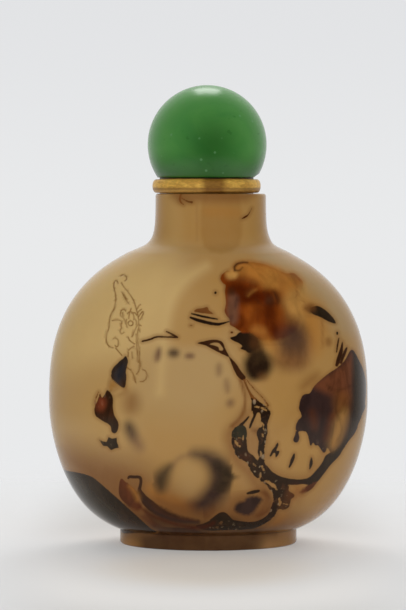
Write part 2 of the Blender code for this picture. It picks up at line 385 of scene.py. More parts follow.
VEIN = [
    Mark(BLACK, [(251, 396), (256, 399.4), (262, 403), (267, 408), (270.4, 412), (269.6, 417), (268, 422),
        (267, 427), (267.6, 433), (265.6, 440), (264.6, 448), (264.3, 456), (264.6, 462), (267, 467),
        (272, 473), (278, 477), (284, 483), (282, 487), (276, 486), (270, 481), (264, 478), (259, 471),
        (256, 464), (258.6, 458), (257.6, 452), (258.6, 445), (258.4, 440), (256.6, 434), (258.4, 428.6),
        (261.4, 426), (261, 420), (260, 413.4), (257.4, 412.6), (255.4, 417), (253, 422.4), (250.6, 428),
        (249, 427.6), (250.6, 422), (253.4, 415), (251.4, 411), (251.6, 403)]),
    Mark(BLACK, [(248.6, 417, 0.8), (244.6, 421.6, 1.1), (240.6, 425.4, 1.6)]),
    Mark(MOULD, [(241, 424.6), (245, 426.6), (246.8, 431), (246.6, 437.4), (243, 439), (240, 437.4),
        (236, 438.4), (231.6, 437), (232.4, 431.6), (236, 427)]),
    Mark(BLACK, [(232, 437), (236, 438), (243.4, 438), (246.4, 439), (247, 446), (248.6, 452.4),
        (252.6, 455), (255.6, 458.6), (258.6, 463), (262.4, 471), (266, 478), (272, 484), (277, 490),
        (275, 496), (270.6, 490), (266, 484.6), (260, 480), (255.6, 477), (251.6, 471.6), (249, 466),
        (245.6, 462), (240, 459), (235.6, 455), (234.4, 450), (231.8, 444)]),
    Mark(BLACK, [(270, 488), (276, 484), (282, 483.6), (288.6, 485.4), (288.8, 490.6), (293.6, 494),
        (294.2, 496.6), (291, 499.4), (290, 503.6), (288.8, 507), (285, 509.6), (280, 509), (276.6, 512),
        (273.6, 517), (268, 521.6), (262, 525), (254, 528.4), (240, 530), (226, 530), (212, 530.6),
        (203, 529.6), (196, 526), (204, 523.4), (211, 519), (216, 515), (220, 512.6), (225, 512.4),
        (229, 515.6), (233, 519.6), (240, 521), (250, 522), (258, 520.6), (265, 517), (269.6, 511.6),
        (272, 505), (273.4, 499), (272.4, 493)]),
    Mark(BLACK, [(266, 465), (272, 471.4), (280, 476.2), (288, 478.4), (297, 479.4), (304, 479),
        (309.6, 477), (315.6, 471), (322, 463), (325.4, 456), (331, 452), (338, 447.4), (341.4, 440),
        (345, 432), (347, 424), (348.4, 416), (349, 404), (365, 404), (362, 415), (358.4, 424),
        (355.6, 432), (348.6, 441), (343.4, 449), (338.6, 456.6), (331, 464.4), (324.4, 473), (318, 481),
        (311, 485), (303, 484), (297, 484.8), (288, 484.6), (278, 483), (270, 479)]),
]
DASHES = [
    Mark(BLACK, [(277.4, 442.6), (278.4, 445), (276.4, 450.6), (279.4, 451), (278.2, 455), (275.4, 457.6),
        (275.4, 453.8), (273.4, 452.8), (271.8, 455.6), (269.6, 456.4), (272, 450.4), (275, 446.6)]),
    Mark(BLACK, [(294.2, 454.2, 0.8), (292.6, 459.4, 1.7), (289.4, 467, 0.8)]),
    Mark(BLACK, [(311.4, 457.4, 0.6), (311.2, 463, 1.6), (309.8, 469, 0.7)]),
    Mark(BLACK, [(337.2, 332.6, 0.9), (337.3, 334, 0.9)]),
    Mark(UMBER, [(338.8, 338.2, 0.6), (337.6, 345, 0.8), (336.6, 352, 0.5)]),
    Mark(UMBER, [(342.4, 342, 0.5), (341.8, 347, 1.2), (340.6, 353, 1.9), (338.4, 360, 2.0),
        (336.8, 365, 1.6)]),
    Mark(UMBER, [(346.8, 347.6, 0.6), (345.4, 351, 1.4), (343, 357, 1.4), (341, 362.6, 1.2)]),
    Mark(BLACK, [(363.2, 375.6, 0.7), (363.4, 380.4, 0.7)]),
    Mark(CHESTNUT, [(290.8, 301.2, 0.5), (297.6, 299.4, 0.7), (304.8, 302, 0.5)]),
    Mark(EMBER, [(242, 218.6, 0.4), (245.4, 216.8, 0.9), (248.6, 214.2, 0.4), (251.8, 208.2, 0.1)]),
    Mark(CHESTNUT, [(181.4, 193.8, 0.8), (179.8, 198, 0.9), (180.6, 201.8, 0.8), (183.4, 204.4, 0.5)]),
    Mark(CHESTNUT, [(182, 198.4, 0.5), (187.3, 201.3, 0.7), (191.8, 202.3, 1.1)]),
]
LEFT_FLECKS = [
    Mark(SLATE, [(126, 356), (128, 361.4), (127, 366.1), (125.8, 372.1), (126.4, 377), (124.9, 387.2),
        (120, 386), (112, 378.6), (111.3, 373.5), (112.8, 368.4), (118.8, 362), (123, 358.6)]),
    Mark(CARAMEL, [(110.6, 383), (112.4, 379.6), (116.6, 384.6), (113, 387.4), (111.4, 391),
        (109.8, 389.4)], fades=(115, 384, 12)),
    Mark(UMBER, [(107.6, 390), (112.6, 396.6), (112.8, 406.8), (114.2, 415), (118.4, 423), (117.4, 431),
        (114.2, 433.4), (111.4, 431), (110, 425.4), (101.6, 420.2), (95.2, 415), (94.8, 407), (97.2, 401.4),
        (100.4, 393.4), (101.6, 398.2), (105, 394)]),
    Mark(SMOKE, [(99, 439.6), (103, 441.4), (106.6, 442), (108.6, 436.8), (112, 438.8), (116.8, 437.6),
        (117, 442), (119, 447.8), (115, 448.4), (111, 450.2), (107.6, 446.4), (103, 445.6)], angular=True),
    Mark(CHESTNUT, [(98.6, 392, 0.4), (96, 398, 0.7), (94.6, 405, 0.5)]),
]
LOWER_LEFT = [
    Mark(SMOKE, [(54, 466), (66, 470.6), (78, 472.6), (91, 476.4), (98, 481.4), (105, 487.4), (116, 497),
        (127, 507), (138, 517), (150, 528), (156, 532.4), (130, 532.6), (106, 531), (88, 516), (66, 498),
        (50, 476)]),
    Mark(UMBER, [(128.2, 478.2, 1.0), (129.6, 476.8, 1.4), (134, 477, 1.5), (139.6, 477.4, 1.5),
        (141, 481, 1.4), (140, 487, 1.5), (139.6, 490.4, 2.0), (143, 497, 3.2), (148, 503, 4.6),
        (156, 509.4, 4.8), (166, 514.8, 4.6), (176, 518.6, 3.6), (186, 520.6, 2.8), (198, 521.6, 1.2)],
        fades=(182, 512, 46)),
    Mark(RUSSET, [(127, 483, 0.5), (132, 488, 0.9), (137, 493.4, 1.0)]),
    Mark(RUSSET, [(121, 478.6), (126, 482.4), (131, 487), (136.4, 493), (139, 500), (141.4, 507),
        (137, 510.4), (130, 507.4), (124, 502), (119.6, 496), (118.8, 487)], fades=(136, 509, 18)),
]
RIGHT_MASS = [
    Mark(PLUM, [(351.8, 349.6), (344.5, 360.8), (337.2, 367.7), (328.4, 373.6), (319.6, 380.9),
        (313.7, 386.8), (310.1, 393), (303.4, 394.8), (300.6, 400), (299, 408), (300.8, 413), (301.4, 417),
        (298, 420.4), (295.8, 426.4), (295.6, 431), (295, 435), (293.2, 439.8), (295, 442.4),
        (298.2, 441.6), (299.4, 437), (298.6, 431.6), (305.6, 431.6), (308.4, 437), (310.6, 446.6),
        (312.8, 442.4), (315.4, 445.4), (318.4, 445.8), (322.4, 451.8), (325.2, 452.2), (327.4, 447.6),
        (331, 452), (338, 447.4), (341.4, 450), (348.6, 441), (355.6, 432), (358.4, 424), (362, 415),
        (365, 404), (366, 383.8), (363.6, 371), (358.8, 360)]),
    Mark(RUSSET, [(309.6, 484), (318, 480), (312, 488.6), (304.4, 493), (300, 492)], fades=(301, 491, 10)),
]
HORN = [
    Mark(SMOKE, [(306, 308.6), (312, 307), (318.1, 306), (325.5, 310.2), (332.8, 317.4), (335.6, 323.4),
        (328.4, 321.4), (321, 317.4), (312, 313.6)], fades=(304, 311, 14)),
]
HEAD = [
    Mark(BURNT, [(234.2, 269.8), (234, 266.4), (236.6, 263.6), (241, 262.2), (248, 262), (256, 262.6),
        (265, 264.6), (274, 268.4), (281, 271.4), (287, 273.6), (293.8, 273.2), (299, 277.6),
        (302.6, 281.8), (303, 286), (301, 292), (299, 300), (300, 312), (296, 330), (286, 337), (276, 340),
        (266, 341), (256, 339), (246, 334), (240.6, 331.4), (237.4, 329.2), (233.6, 326.8), (229.8, 324.4),
        (230, 320), (226.6, 315.4), (224.6, 310.6), (226, 302.6), (225, 292), (225.6, 285.2), (223, 283),
        (220.8, 279.4), (221.2, 276.2), (224, 272.6), (228, 270.6), (231.6, 271.6)], fades=(280, 334, 50)),
]
BEARD = [
    Mark(BLACK, [(229.8, 337.8), (235.7, 335.8), (239.3, 332.6), (246.4, 331), (254, 332.6), (258, 336.4),
        (258.6, 343), (255, 350), (250, 353), (247.6, 352.4), (245, 350.4), (240, 348.6), (242.6, 346.2),
        (238.4, 343), (233.9, 341)], fades=(258, 346, 18)),
]
INCLUSION = [
    Mark(BLACK, [(247.4, 493.4, 1.0), (252, 492.4, 1.7), (258.6, 491, 1.4)]),
    Mark(PLUM, [(246, 498.6), (252, 496.4), (259, 497.2), (262, 500), (259, 504), (256, 508.6),
        (252, 513.4), (247, 515), (240, 513.6), (234.6, 509.6), (236.4, 504.4), (240.4, 502),
        (244.6, 501.4)], fades=(247, 507, 60)),
]
FRONT_MARKS = (ZIGZAG + WHISKERS + EYE_AND_STEM + LEFT_FLECKS + LOWER_LEFT + RIGHT_MASS + DASHES + HORN
               + HEAD + BEARD + VEIN + INCLUSION)

# Clear windows within the dark markings
WINDOWS = [Mark(PALE, points) for points in (
    [(209.4, 344.2), (214, 342.6), (219, 343.2), (222, 346.6), (223.4, 350), (219.6, 350.4), (218.4, 347.4),
        (214.4, 345.6)],
    [(265, 480.8, 0.8), (270, 483.4, 1.5), (274, 486, 1.7), (277, 489.4, 0.9)],
    [(279.4, 498.6, 0.9), (280, 502, 1.4), (279.8, 505, 0.8)],
    [(235, 440.6, 0.9), (236.6, 443.4, 1.3), (237.8, 446, 0.8)],
    [(243.4, 435.6, 0.5), (243, 439.6, 0.9)],
    [(255, 406.6, 0.8), (258.6, 407.4, 0.9)],
    [(261.6, 408, 0.7), (264.6, 409.8, 0.9), (267, 411, 0.6)],
    [(262, 423.6, 0.8), (263.6, 426, 1.0), (263.8, 429, 0.7)],
    [(262.8, 433, 0.6), (262.6, 436, 0.8)],
    [(260.6, 451.6, 0.6), (261, 456, 0.8)],
    [(262, 466, 0.9), (263.6, 469.4, 1.1)],
    [(261, 472.6, 0.7), (260.4, 477, 1.1)],
    [(253, 463.6, 0.8), (255.6, 466, 0.9)],
    [(289.6, 485.6, 0.7), (289.8, 489, 0.8)],
    [(283.6, 503.6, 0.6), (287.6, 504.6, 0.7)],
    [(236.2, 268.6), (238.4, 265.4), (243, 264), (240.6, 267.4), (238, 270)],
)]
WINDOWS += [
    spot(PALE, 239.4, 446.6, 0.9, 1.3, lean=20),
    spot(PALE, 252, 413, 0.7, 2.2, lean=10),
    spot(PALE, 221, 523, 1.6, 2.0, lean=30),
    spot(PALE, 217, 527.4, 1.8, 0.9),
]

# Tints that stay within the crisp markings
TINTS = [
    Mark(CINNAMON, [(352, 354), (344, 363), (330, 373), (314, 385), (322, 391), (336, 397), (350, 400),
        (353, 380)], soft=5, strength=0.9),
    Mark(UMBER, [(326, 384, 0.7), (334, 391, 0.9), (343, 389, 0.9), (352, 386, 0.6)], soft=2, strength=0.6),
    spot(CHESTNUT, 343, 402, 9, 10, soft=7, strength=0.8),
    Mark(RUSSET, [(312, 412, 2), (313.6, 420, 3), (315, 428, 2)], soft=5, strength=0.6),
    Mark(CARAMEL, [(342, 407), (347, 413), (346, 424), (343, 434), (339, 444), (333, 450), (329, 444),
        (332, 430), (336, 416)], soft=7),
    Mark(RUSSET, [(329, 418), (336, 410), (344, 404), (338, 414), (332, 424), (328, 440), (324, 438)],
        soft=5, strength=0.8),
    Mark(SMOKE, [(354, 352), (359, 362), (363, 376), (365, 390), (364, 408), (358, 424), (351, 438),
        (342, 450), (334, 460), (326, 466), (322, 460), (332, 454), (342, 444), (350, 428), (353, 410),
        (353, 380)], soft=3.5),
    spot(RUST, 101, 404, 5, 7, lean=10, soft=4, strength=0.8),
    spot(SMOKE, 112, 426, 6, 9, lean=-20, soft=5, strength=0.8),
    spot(NIGHT, 120, 372, 4, 10, lean=14, soft=5, strength=0.9),
    Mark(BLACK, [(126.4, 357, 1.2), (119, 364.6, 1.6), (113, 371, 1.6), (112.4, 378, 1.4)], soft=3,
        strength=0.8),
    Mark(BLACK, [(104, 395, 1.6), (109.6, 394, 2.4), (110.4, 402, 2.6), (109, 410, 2)], soft=4,
        strength=0.7),
    spot(UMBER, 124, 384, 3, 4, soft=3, strength=0.6),
    spot(CHESTNUT, 309, 309, 7, 3, soft=4, strength=0.5),
    Mark(AMBER, [(130, 486, 1.0), (135, 492, 1.8), (138, 499, 2)], soft=4, strength=0.8),
    spot(UMBER, 121, 488, 1.6, 7, lean=-12, soft=3, strength=0.5),
    Mark(MOSS, [(58, 470, 1), (70, 475, 1.4), (78, 482, 1.4), (86, 493, 1.4)], soft=6, strength=0.4),
    Mark(MOSS, [(98, 498, 0.4), (110, 509, 0.6), (124, 521, 0.6), (134, 528, 0.4)], soft=1.6,
        strength=0.25),
    Mark(UMBER, [(122, 510), (136, 520), (152, 534), (130, 540), (112, 532)], soft=9, strength=0.5),
    Mark(RUSSET, [(152, 507.6, 0.5), (165, 514.6, 0.8), (180, 519, 0.8), (196, 520.6, 0.5)], soft=1.6,
        strength=0.7),
    Mark(CHESTNUT, [(288, 487), (293, 492), (291, 502), (286, 510), (278, 515), (280, 505), (284, 496)],
        soft=4, strength=0.3),
    spot(RUSSET, 245, 457, 5, 4, soft=5, strength=0.5),
]

# Soft colour beneath the crisp markings, in the order in which it lies: mostly the stone's own colour deep
# inside, with painted light on its upper left, a painted reflection on its left shoulder, a painted
# highlight on the neck, and a painted shadow where the belly meets the foot
STAINS_AND_PAINTED_LIGHT = [
    # Paler upper left: painted light glowing through the stone, over its own paler tone
    Mark(STRAW, [(92, 268), (165, 256), (182, 290), (168, 320), (150, 350), (104, 368), (60, 372),
        (46, 345), (62, 300)], soft=30, strength=0.95),
    Mark(OCHRE, [(88, 372), (140, 366), (136, 400), (140, 446), (92, 446), (76, 410)], soft=24,
        strength=0.85),
    Mark(TAWNY, [(196, 246), (330, 280), (352, 340), (352, 430), (315, 500), (272, 440), (244, 380),
        (226, 330)], soft=22, strength=0.75),
    Mark(BUFF, [(146, 350), (222, 350), (240, 392), (232, 428), (226, 458), (150, 452), (128, 424),
        (136, 380)], soft=16, strength=0.8),
    Mark(TAWNY, [(140, 420), (205, 420), (240, 392), (244, 470), (250, 500), (150, 490)], soft=24,
        strength=0.7),
    Mark(TAWNY, [(268, 380), (300, 370), (330, 400), (350, 440), (330, 480), (290, 520), (262, 500)],
        soft=18, strength=0.6),
    Mark(DRAB, [(266, 250), (300, 264), (334, 292), (352, 330), (338, 330), (318, 298), (292, 270),
        (262, 262)], soft=14, strength=0.8),
    # Painted reflection: a soft pale arc on the left shoulder
    Mark(STRAW, [(160, 392, 2), (163, 345, 2.5), (168, 306, 3.5), (182, 282, 4.5), (206, 266, 3)], soft=9,
        strength=0.75),
    Mark(TAWNY, [(172, 342), (176, 306), (192, 284), (218, 274), (226, 290), (226, 330), (200, 345)],
        soft=7, strength=0.6),
    Mark(BROWN, [(60, 452), (118, 458), (150, 474), (156, 500), (140, 530), (96, 510)], soft=24,
        strength=0.9),
    Mark(BROWN, [(150, 492), (220, 496), (290, 512), (280, 540), (140, 540)], soft=22, strength=0.9),
    Mark(UMBER, [(140, 516), (220, 518), (270, 520), (262, 534), (130, 534)], soft=14, strength=0.75),
    Mark(TAWNY, [(158, 190), (262, 190), (262, 240), (158, 240)], soft=10, strength=0.9),
    Mark(CARAMEL, [(205, 192), (237, 192), (239, 246), (204, 247)], soft=3, strength=0.6),
    Mark(AMBER, [(206, 207), (238, 208), (238, 217), (208, 216)], soft=4, strength=0.3),
    # Painted highlight: a faint light strip down the left of the neck
    Mark(STRAW, [(163, 200), (180, 200), (182, 240), (166, 240)], soft=8, strength=0.22),
    Mark(BROWN, [(196.6, 203, 0.4), (197, 222, 0.6), (197, 240, 0.4)], soft=3, strength=0.3),
    Mark(BROWN, [(176, 191), (250, 191), (250, 199), (240, 202), (196, 202), (178, 203)], soft=6,
        strength=0.75),
    Mark(AMBER, [(276, 298), (292, 292), (306, 300), (320, 306), (324, 322), (322, 344), (312, 356),
        (290, 362), (270, 352), (262, 330)], soft=12, strength=0.8),
    Mark(CHESTNUT, [(321.8, 318, 0.8), (322.6, 332, 0.8), (322.2, 348, 0.6)], soft=2.0, strength=0.5),
    spot(CHESTNUT, 328.6, 342, 3.4, 4.6, soft=3, strength=0.6),
    spot(CHESTNUT, 310, 381, 12, 5, lean=-40, soft=8, strength=0.6),
    Mark(BROWN, [(300, 398, 3), (290, 420, 3), (276, 430, 3)], soft=14, strength=0.2),
    spot(MAUVE, 158, 354.5, 2.8, 7, lean=12, soft=4),
    spot(PLUM, 173.6, 353, 5.4, 4.4, soft=4.5, strength=0.85),
    spot(MAUVE, 189.8, 356, 4.6, 2.6, soft=3.5),
    spot(MAUVE, 219, 369.6, 2.6, 6, soft=4.4, strength=0.7),
    spot(MAUVE, 227, 386, 2.4, 7, lean=-8, soft=4.4, strength=0.65),
    spot(MAUVE, 230.4, 403, 3.6, 4, lean=30, soft=4.4, strength=0.75),
    spot(CHESTNUT, 131.6, 403, 8, 11, soft=9, strength=0.6),
    spot(PLUM, 130.6, 431, 5, 9.6, lean=-22, soft=7, strength=0.95),
    spot(MAUVE, 137, 443, 4.6, 8, lean=-35, soft=8, strength=0.75),
    Mark(CHESTNUT, [(119, 380, 1), (126, 390, 2), (117, 396, 1.4)], soft=4, strength=0.4),
    Mark(AMBER, [(150, 488, 2), (156, 496, 4), (166, 500, 5), (178, 503, 5)], soft=9, strength=0.75),
    Mark(CHESTNUT, [(158, 500, 4), (172, 508, 7), (190, 510, 8), (206, 508, 7)], soft=9, strength=0.9),
    Mark(MAUVE, [(171, 468, 1.5), (179, 458.6, 1.5), (190, 454.4, 2)], soft=5, strength=0.6),
    Mark(PLUM, [(196, 454.6, 4), (205, 456.6, 6), (212, 461, 8.4), (217.6, 467, 10.4), (220.6, 475, 12),
        (220, 483, 12), (215.6, 491.6, 11), (208, 499.6, 9.6), (199, 507, 7)], soft=9.5),
    Mark(SMOKE, [(217, 464, 4), (224, 471, 6.6), (226, 479, 7), (221, 488, 5)], soft=6, strength=0.9),
    Mark(SMOKE, [(228, 475, 3), (233, 477.6, 1.6), (238, 477, 0.6)], soft=3.4, strength=0.7),
    Mark(SMOKE, [(226, 468), (231.4, 466.4), (231, 471), (235.4, 476.4), (231, 479.6), (226, 482)], soft=3,
        strength=0.6),
    Mark(SMOKE, [(170, 466, 2), (165.6, 472, 5.6), (161.4, 479.4, 7.4), (161, 487, 4.6)], soft=7,
        strength=0.9),
    spot(BUFF, 190, 479, 14, 17, soft=11, strength=0.5),
    Mark(BROWN, [(240.4, 379.6, 1.8), (243.2, 388.9, 1.8), (245.4, 398, 1.6), (244.6, 407.7, 1.5),
        (242, 414.6, 1.4), (238, 420.4, 1.4), (232, 426, 2.0)], soft=2.4),
    Mark(CHESTNUT, [(246, 412, 3), (238, 424, 4), (229, 434, 4), (230, 446, 4), (236, 460, 4),
        (248, 472, 4), (256, 484, 4), (262, 496, 4)], soft=9, strength=0.7),
    Mark(BROWN, [(252, 424), (258, 420), (258, 440), (257, 452), (250, 452), (247, 442), (248, 430)],
        soft=5, strength=0.5),
    Mark(RUSSET, [(253, 430, 1), (257, 431, 2.4)], soft=3, strength=0.8),
    Mark(UMBER, [(222, 517), (240, 519), (262, 518), (262, 528), (226, 528)], soft=5, strength=0.8),
    Mark(BROWN, [(264, 486, 3), (267.6, 496, 4), (265, 508, 4), (256, 518, 4), (244, 522, 3)], soft=6,
        strength=0.8),
    Mark(RUSSET, [(265, 492, 1), (266, 500, 1.6), (262, 510, 1.2), (254, 516, 1)], soft=3, strength=0.7),
    spot(RUSSET, 248, 506, 15, 11, soft=7, strength=0.5),
    Mark(BROWN, [(268, 440, 2), (268, 460, 2), (275, 470, 2), (290, 475.4, 2), (306, 475, 2), (316, 464, 2),
        (324, 452, 2)], soft=6, strength=0.45),
    Mark(AMBER, [(283, 515, 3), (276, 522, 4), (262, 530, 4), (240, 532, 2)], soft=6, strength=0.45),
    spot(AMBER, 299, 488, 8, 4, lean=-15, soft=5, strength=0.5),
    Mark(RUSSET, [(124, 500), (140, 506), (160, 520), (180, 527), (200, 530), (180, 536), (150, 530),
        (134, 518)], soft=7, strength=0.7),
    Mark(MAUVE, [(146, 505, 0.8), (157, 516, 1.2), (170, 522.4, 1.2), (186, 525, 0.8)], soft=2.4,
        strength=0.35),
    Mark(UMBER, [(146, 510, 1.4), (156, 519.6, 2.4), (168, 525.6, 3), (184, 528, 3.2), (200, 526.6, 3)],
        soft=3, strength=0.9),
    # Painted shadow: a dark band where the belly meets the foot
    Mark(UMBER, [(132, 529), (200, 526), (262, 529), (270, 534), (200, 538), (134, 535)], soft=7,
        strength=0.9),
    Mark(UMBER, [(141, 534), (180, 537), (230, 537), (258, 533), (258, 551), (230, 556), (180, 556),
        (142, 552)], soft=9, strength=0.9),
    Mark(AMBER, [(121, 533), (138, 535), (140, 548), (122, 546)], soft=6, strength=0.25),
]

# Soft colour that lies over everything, in the order in which it lies
VEILS = [
    Mark(SMOKE, [(246, 346), (254, 349), (262, 351), (264, 360), (256, 362), (250, 354)], soft=5,
        strength=0.75),
    Mark(EMBER, [(262, 492, 0.8), (268.6, 496, 1.4), (270.6, 503, 1.6), (267, 511, 1.6), (258, 516, 1.0)],
        soft=4, strength=0.6),
    Mark(SMOKE, [(196, 530, 1.5), (216, 527, 3), (226, 522, 4), (236, 527, 3.5), (256, 530, 2.5)], soft=6,
        strength=0.5),
    spot(BURNT, 296, 494, 6, 8, soft=8, strength=0.35),
    Mark(UMBER, [(148, 510, 1.5), (158, 518, 2.5), (172, 524, 3), (190, 527, 3), (206, 528, 2)], soft=5,
        strength=0.6),
    Mark(MOULD, [(60, 476, 2), (78, 492, 5), (100, 512, 6), (120, 524, 4)], soft=9, strength=0.5),
    Mark(PLUM, [(143, 499, 1.2), (152, 508, 1.8), (163.6, 516, 2), (180, 520.8, 1.8), (198, 522.4, 1.2)],
        soft=3, strength=0.75),
    Mark(EMBER, [(140, 507, 0.8), (150, 514.6, 1), (160, 519, 1.1), (175, 524, 1.3), (193.6, 527.6, 1.6),
        (206, 526.6, 1.8), (214, 523, 1.6)], soft=2.6, strength=0.8),
    Mark(ORANGE, [(236, 263), (250, 261), (264, 264), (280, 270), (280, 288), (268, 285), (256, 281),
        (244, 276), (232, 272)], soft=6),
    Mark(AMBER, [(268, 268), (296, 275), (302, 284), (298, 296), (290, 298), (280, 292), (264, 288),
        (262, 276)], soft=7, strength=0.8),
    Mark(HONEY, [(226, 272), (232, 270.6), (238, 273), (236, 278), (230, 279.6), (226.4, 277)], soft=3),
    Mark(HONEY, [(284, 298), (298, 289), (305, 298), (304, 316), (298, 324), (288, 318)], soft=8,
        strength=0.9),
    Mark(CHESTNUT, [(238, 279, 1.4), (246, 280.4, 1.8), (254, 282.4, 2)], soft=4, strength=0.5),
    Mark(BURNT, [(222, 275.6, 0.8), (222.6, 279.5, 1.4), (226.4, 282.6, 1.6), (233, 283.4, 2)], soft=2.6),
    Mark(UMBER, [(234.8, 270.4, 0.9), (234.6, 266.8, 1.0), (237.4, 263.8, 1.0), (243, 262.4, 1.0),
        (247.4, 262.6, 0.6)], soft=1.6),
    Mark(UMBER, [(235.4, 270.2, 0.6), (239.4, 270.4, 0.7), (242.6, 267.4, 0.6)], soft=1.4, strength=0.8),
    Mark(EMBER, [(227, 284.4), (238, 283), (248, 286), (258, 292), (272, 297), (276, 303), (266, 307),
        (256, 301), (246, 305), (236, 301), (228, 294)], soft=6, strength=0.9),
    spot(CHESTNUT, 250, 291, 5, 2, lean=-35, soft=4, strength=0.4),
    Mark(BURNT, [(258, 306), (264, 302), (272, 303), (273, 308), (266, 312)], soft=5, strength=0.5),
    spot(MAUVE, 270, 299, 5, 3, lean=-40, soft=4, strength=0.35),
    spot(FIRE, 249, 312, 5, 8, lean=8, soft=5, strength=0.85),
    spot(FIRE, 254, 325, 6, 4, soft=5, strength=0.7),
    Mark(EMBER, [(241, 316, 1.4), (242.6, 323, 2.4), (239, 327, 2.0)], soft=4, strength=0.85),
    Mark(EMBER, [(264, 306), (272, 308), (270, 322), (268, 330), (262, 320)], soft=6, strength=0.6),
    spot(FIRE, 281, 314, 4, 7, soft=5, strength=0.6),
    spot(ORANGE, 259, 331, 8, 5, lean=10, soft=5, strength=0.7),
    spot(AMBER, 265, 342, 10, 5, lean=-10, soft=8, strength=0.7),
    spot(EMBER, 272, 318, 4, 16, lean=-8, soft=6, strength=0.6),
    spot(EMBER, 262, 296, 16, 5, lean=-16, soft=5, strength=0.8),
    spot(UMBER, 273, 300, 7, 5, lean=-30, soft=4, strength=0.6),
    spot(EMBER, 275, 333, 5, 7, lean=-10, soft=6, strength=0.8),
    spot(MAUVE, 295, 348, 15, 20, soft=11, strength=0.75),
    spot(PLUM, 293, 339, 13, 19, soft=12, strength=0.74),
    spot(CHESTNUT, 290, 320, 7, 5, soft=7, strength=0.45),
    spot(BROWN, 290, 362, 18, 8, soft=10, strength=0.7),
    spot(UMBER, 256, 344, 6, 9, lean=-25, soft=5, strength=0.85),
    spot(BLACK, 258, 364.4, 14.4, 14.4, soft=6),
    spot(BLACK, 255, 371, 8, 9, soft=5),
    spot(BROWN, 263, 377, 5, 4, soft=5, strength=0.5),
    Mark(MAUVE, [(228, 296), (233, 293), (238, 297), (238.6, 306), (238.4, 315), (236.6, 322), (232.6, 325),
        (229, 320), (226.4, 311), (227.4, 303)], soft=3.6, strength=0.68),
    spot(UMBER, 231, 291.6, 4, 4, soft=3.4, strength=0.75),
    spot(PLUM, 236, 303, 1.6, 6, lean=10, soft=2.6, strength=0.6),
    spot(PLUM, 231, 318, 2, 3, soft=2.4, strength=0.5),
    Mark(HONEY, [(222.6, 294, 0.8), (223.4, 300, 1.0), (222.8, 308, 0.8)], soft=2.4, strength=0.5),
    spot(CHESTNUT, 281, 283, 4, 9, soft=5, strength=0.4),
    Mark(CHESTNUT, [(291, 273.8, 0.6), (296, 276.4, 0.7), (300.4, 281, 0.8)], soft=1.6, strength=0.7),
    spot(TAWNY, 303, 289, 4, 6, soft=4, strength=0.7),
    Mark(CHESTNUT, [(296.4, 288, 0.5), (297.2, 293, 0.7), (296, 298, 0.5)], soft=1.6, strength=0.5),
    Mark(UMBER, [(272, 291, 0.6), (276, 296, 0.9), (279, 302, 0.7)], soft=2, strength=0.6),
    Mark(UMBER, [(264, 292, 0.5), (267, 297, 0.8), (268, 303, 0.6)], soft=2, strength=0.5),
    Mark(UMBER, [(256, 299, 0.6), (259, 303, 0.8), (264, 306, 0.6)], soft=2, strength=0.5),
    Mark(FIRE, [(270, 290, 0.6), (273, 295, 0.9), (275, 301, 0.6)], soft=2, strength=0.5),
    Mark(AMBER, [(248, 296, 0.6), (252, 292, 0.9), (257, 289, 0.6)], soft=2.4, strength=0.5),
    Mark(EMBER, [(262, 270, 0.6), (268, 275, 1.0), (276, 279, 0.6)], soft=4, strength=0.25),
    spot(CHESTNUT, 309, 307, 6, 3.4, lean=-20, soft=4, strength=0.7),
    Mark(CHESTNUT, [(292, 277, 0.6), (295, 281, 0.9), (297, 287, 0.5)], soft=2.0, strength=0.6),
]

# Where the crisp markings have ragged edges and crystal specks show in them
ROUGH_PLACES = [
    Mark(PALE, [(253, 399, 3), (262, 406, 5), (267, 412, 4)], soft=3),
    Mark(PALE, [(264, 418, 4), (263, 440, 4), (261, 456, 5), (261, 470, 6)], soft=3),
    Mark(PALE, [(236, 428, 4), (238, 452, 5), (250, 466, 5), (262, 480, 6)], soft=3),
    Mark(PALE, [(272, 486, 6), (280, 494, 10), (279, 508, 9), (272, 516, 4)], soft=4),
    Mark(PALE, [(210, 524, 5), (222, 525, 6), (236, 527, 3)], soft=3),
    Mark(PALE, [(97, 392, 3), (95, 408, 3)], soft=3, strength=0.5),
    Mark(PALE, [(119, 360, 4), (112, 376, 5), (106, 396, 5), (100, 414, 5), (108, 442, 7)], soft=4,
        strength=0.12),
    Mark(PALE, [(300, 400, 5), (297, 430, 5), (312, 446, 6), (326, 450, 4)], soft=4, strength=0.15),
]

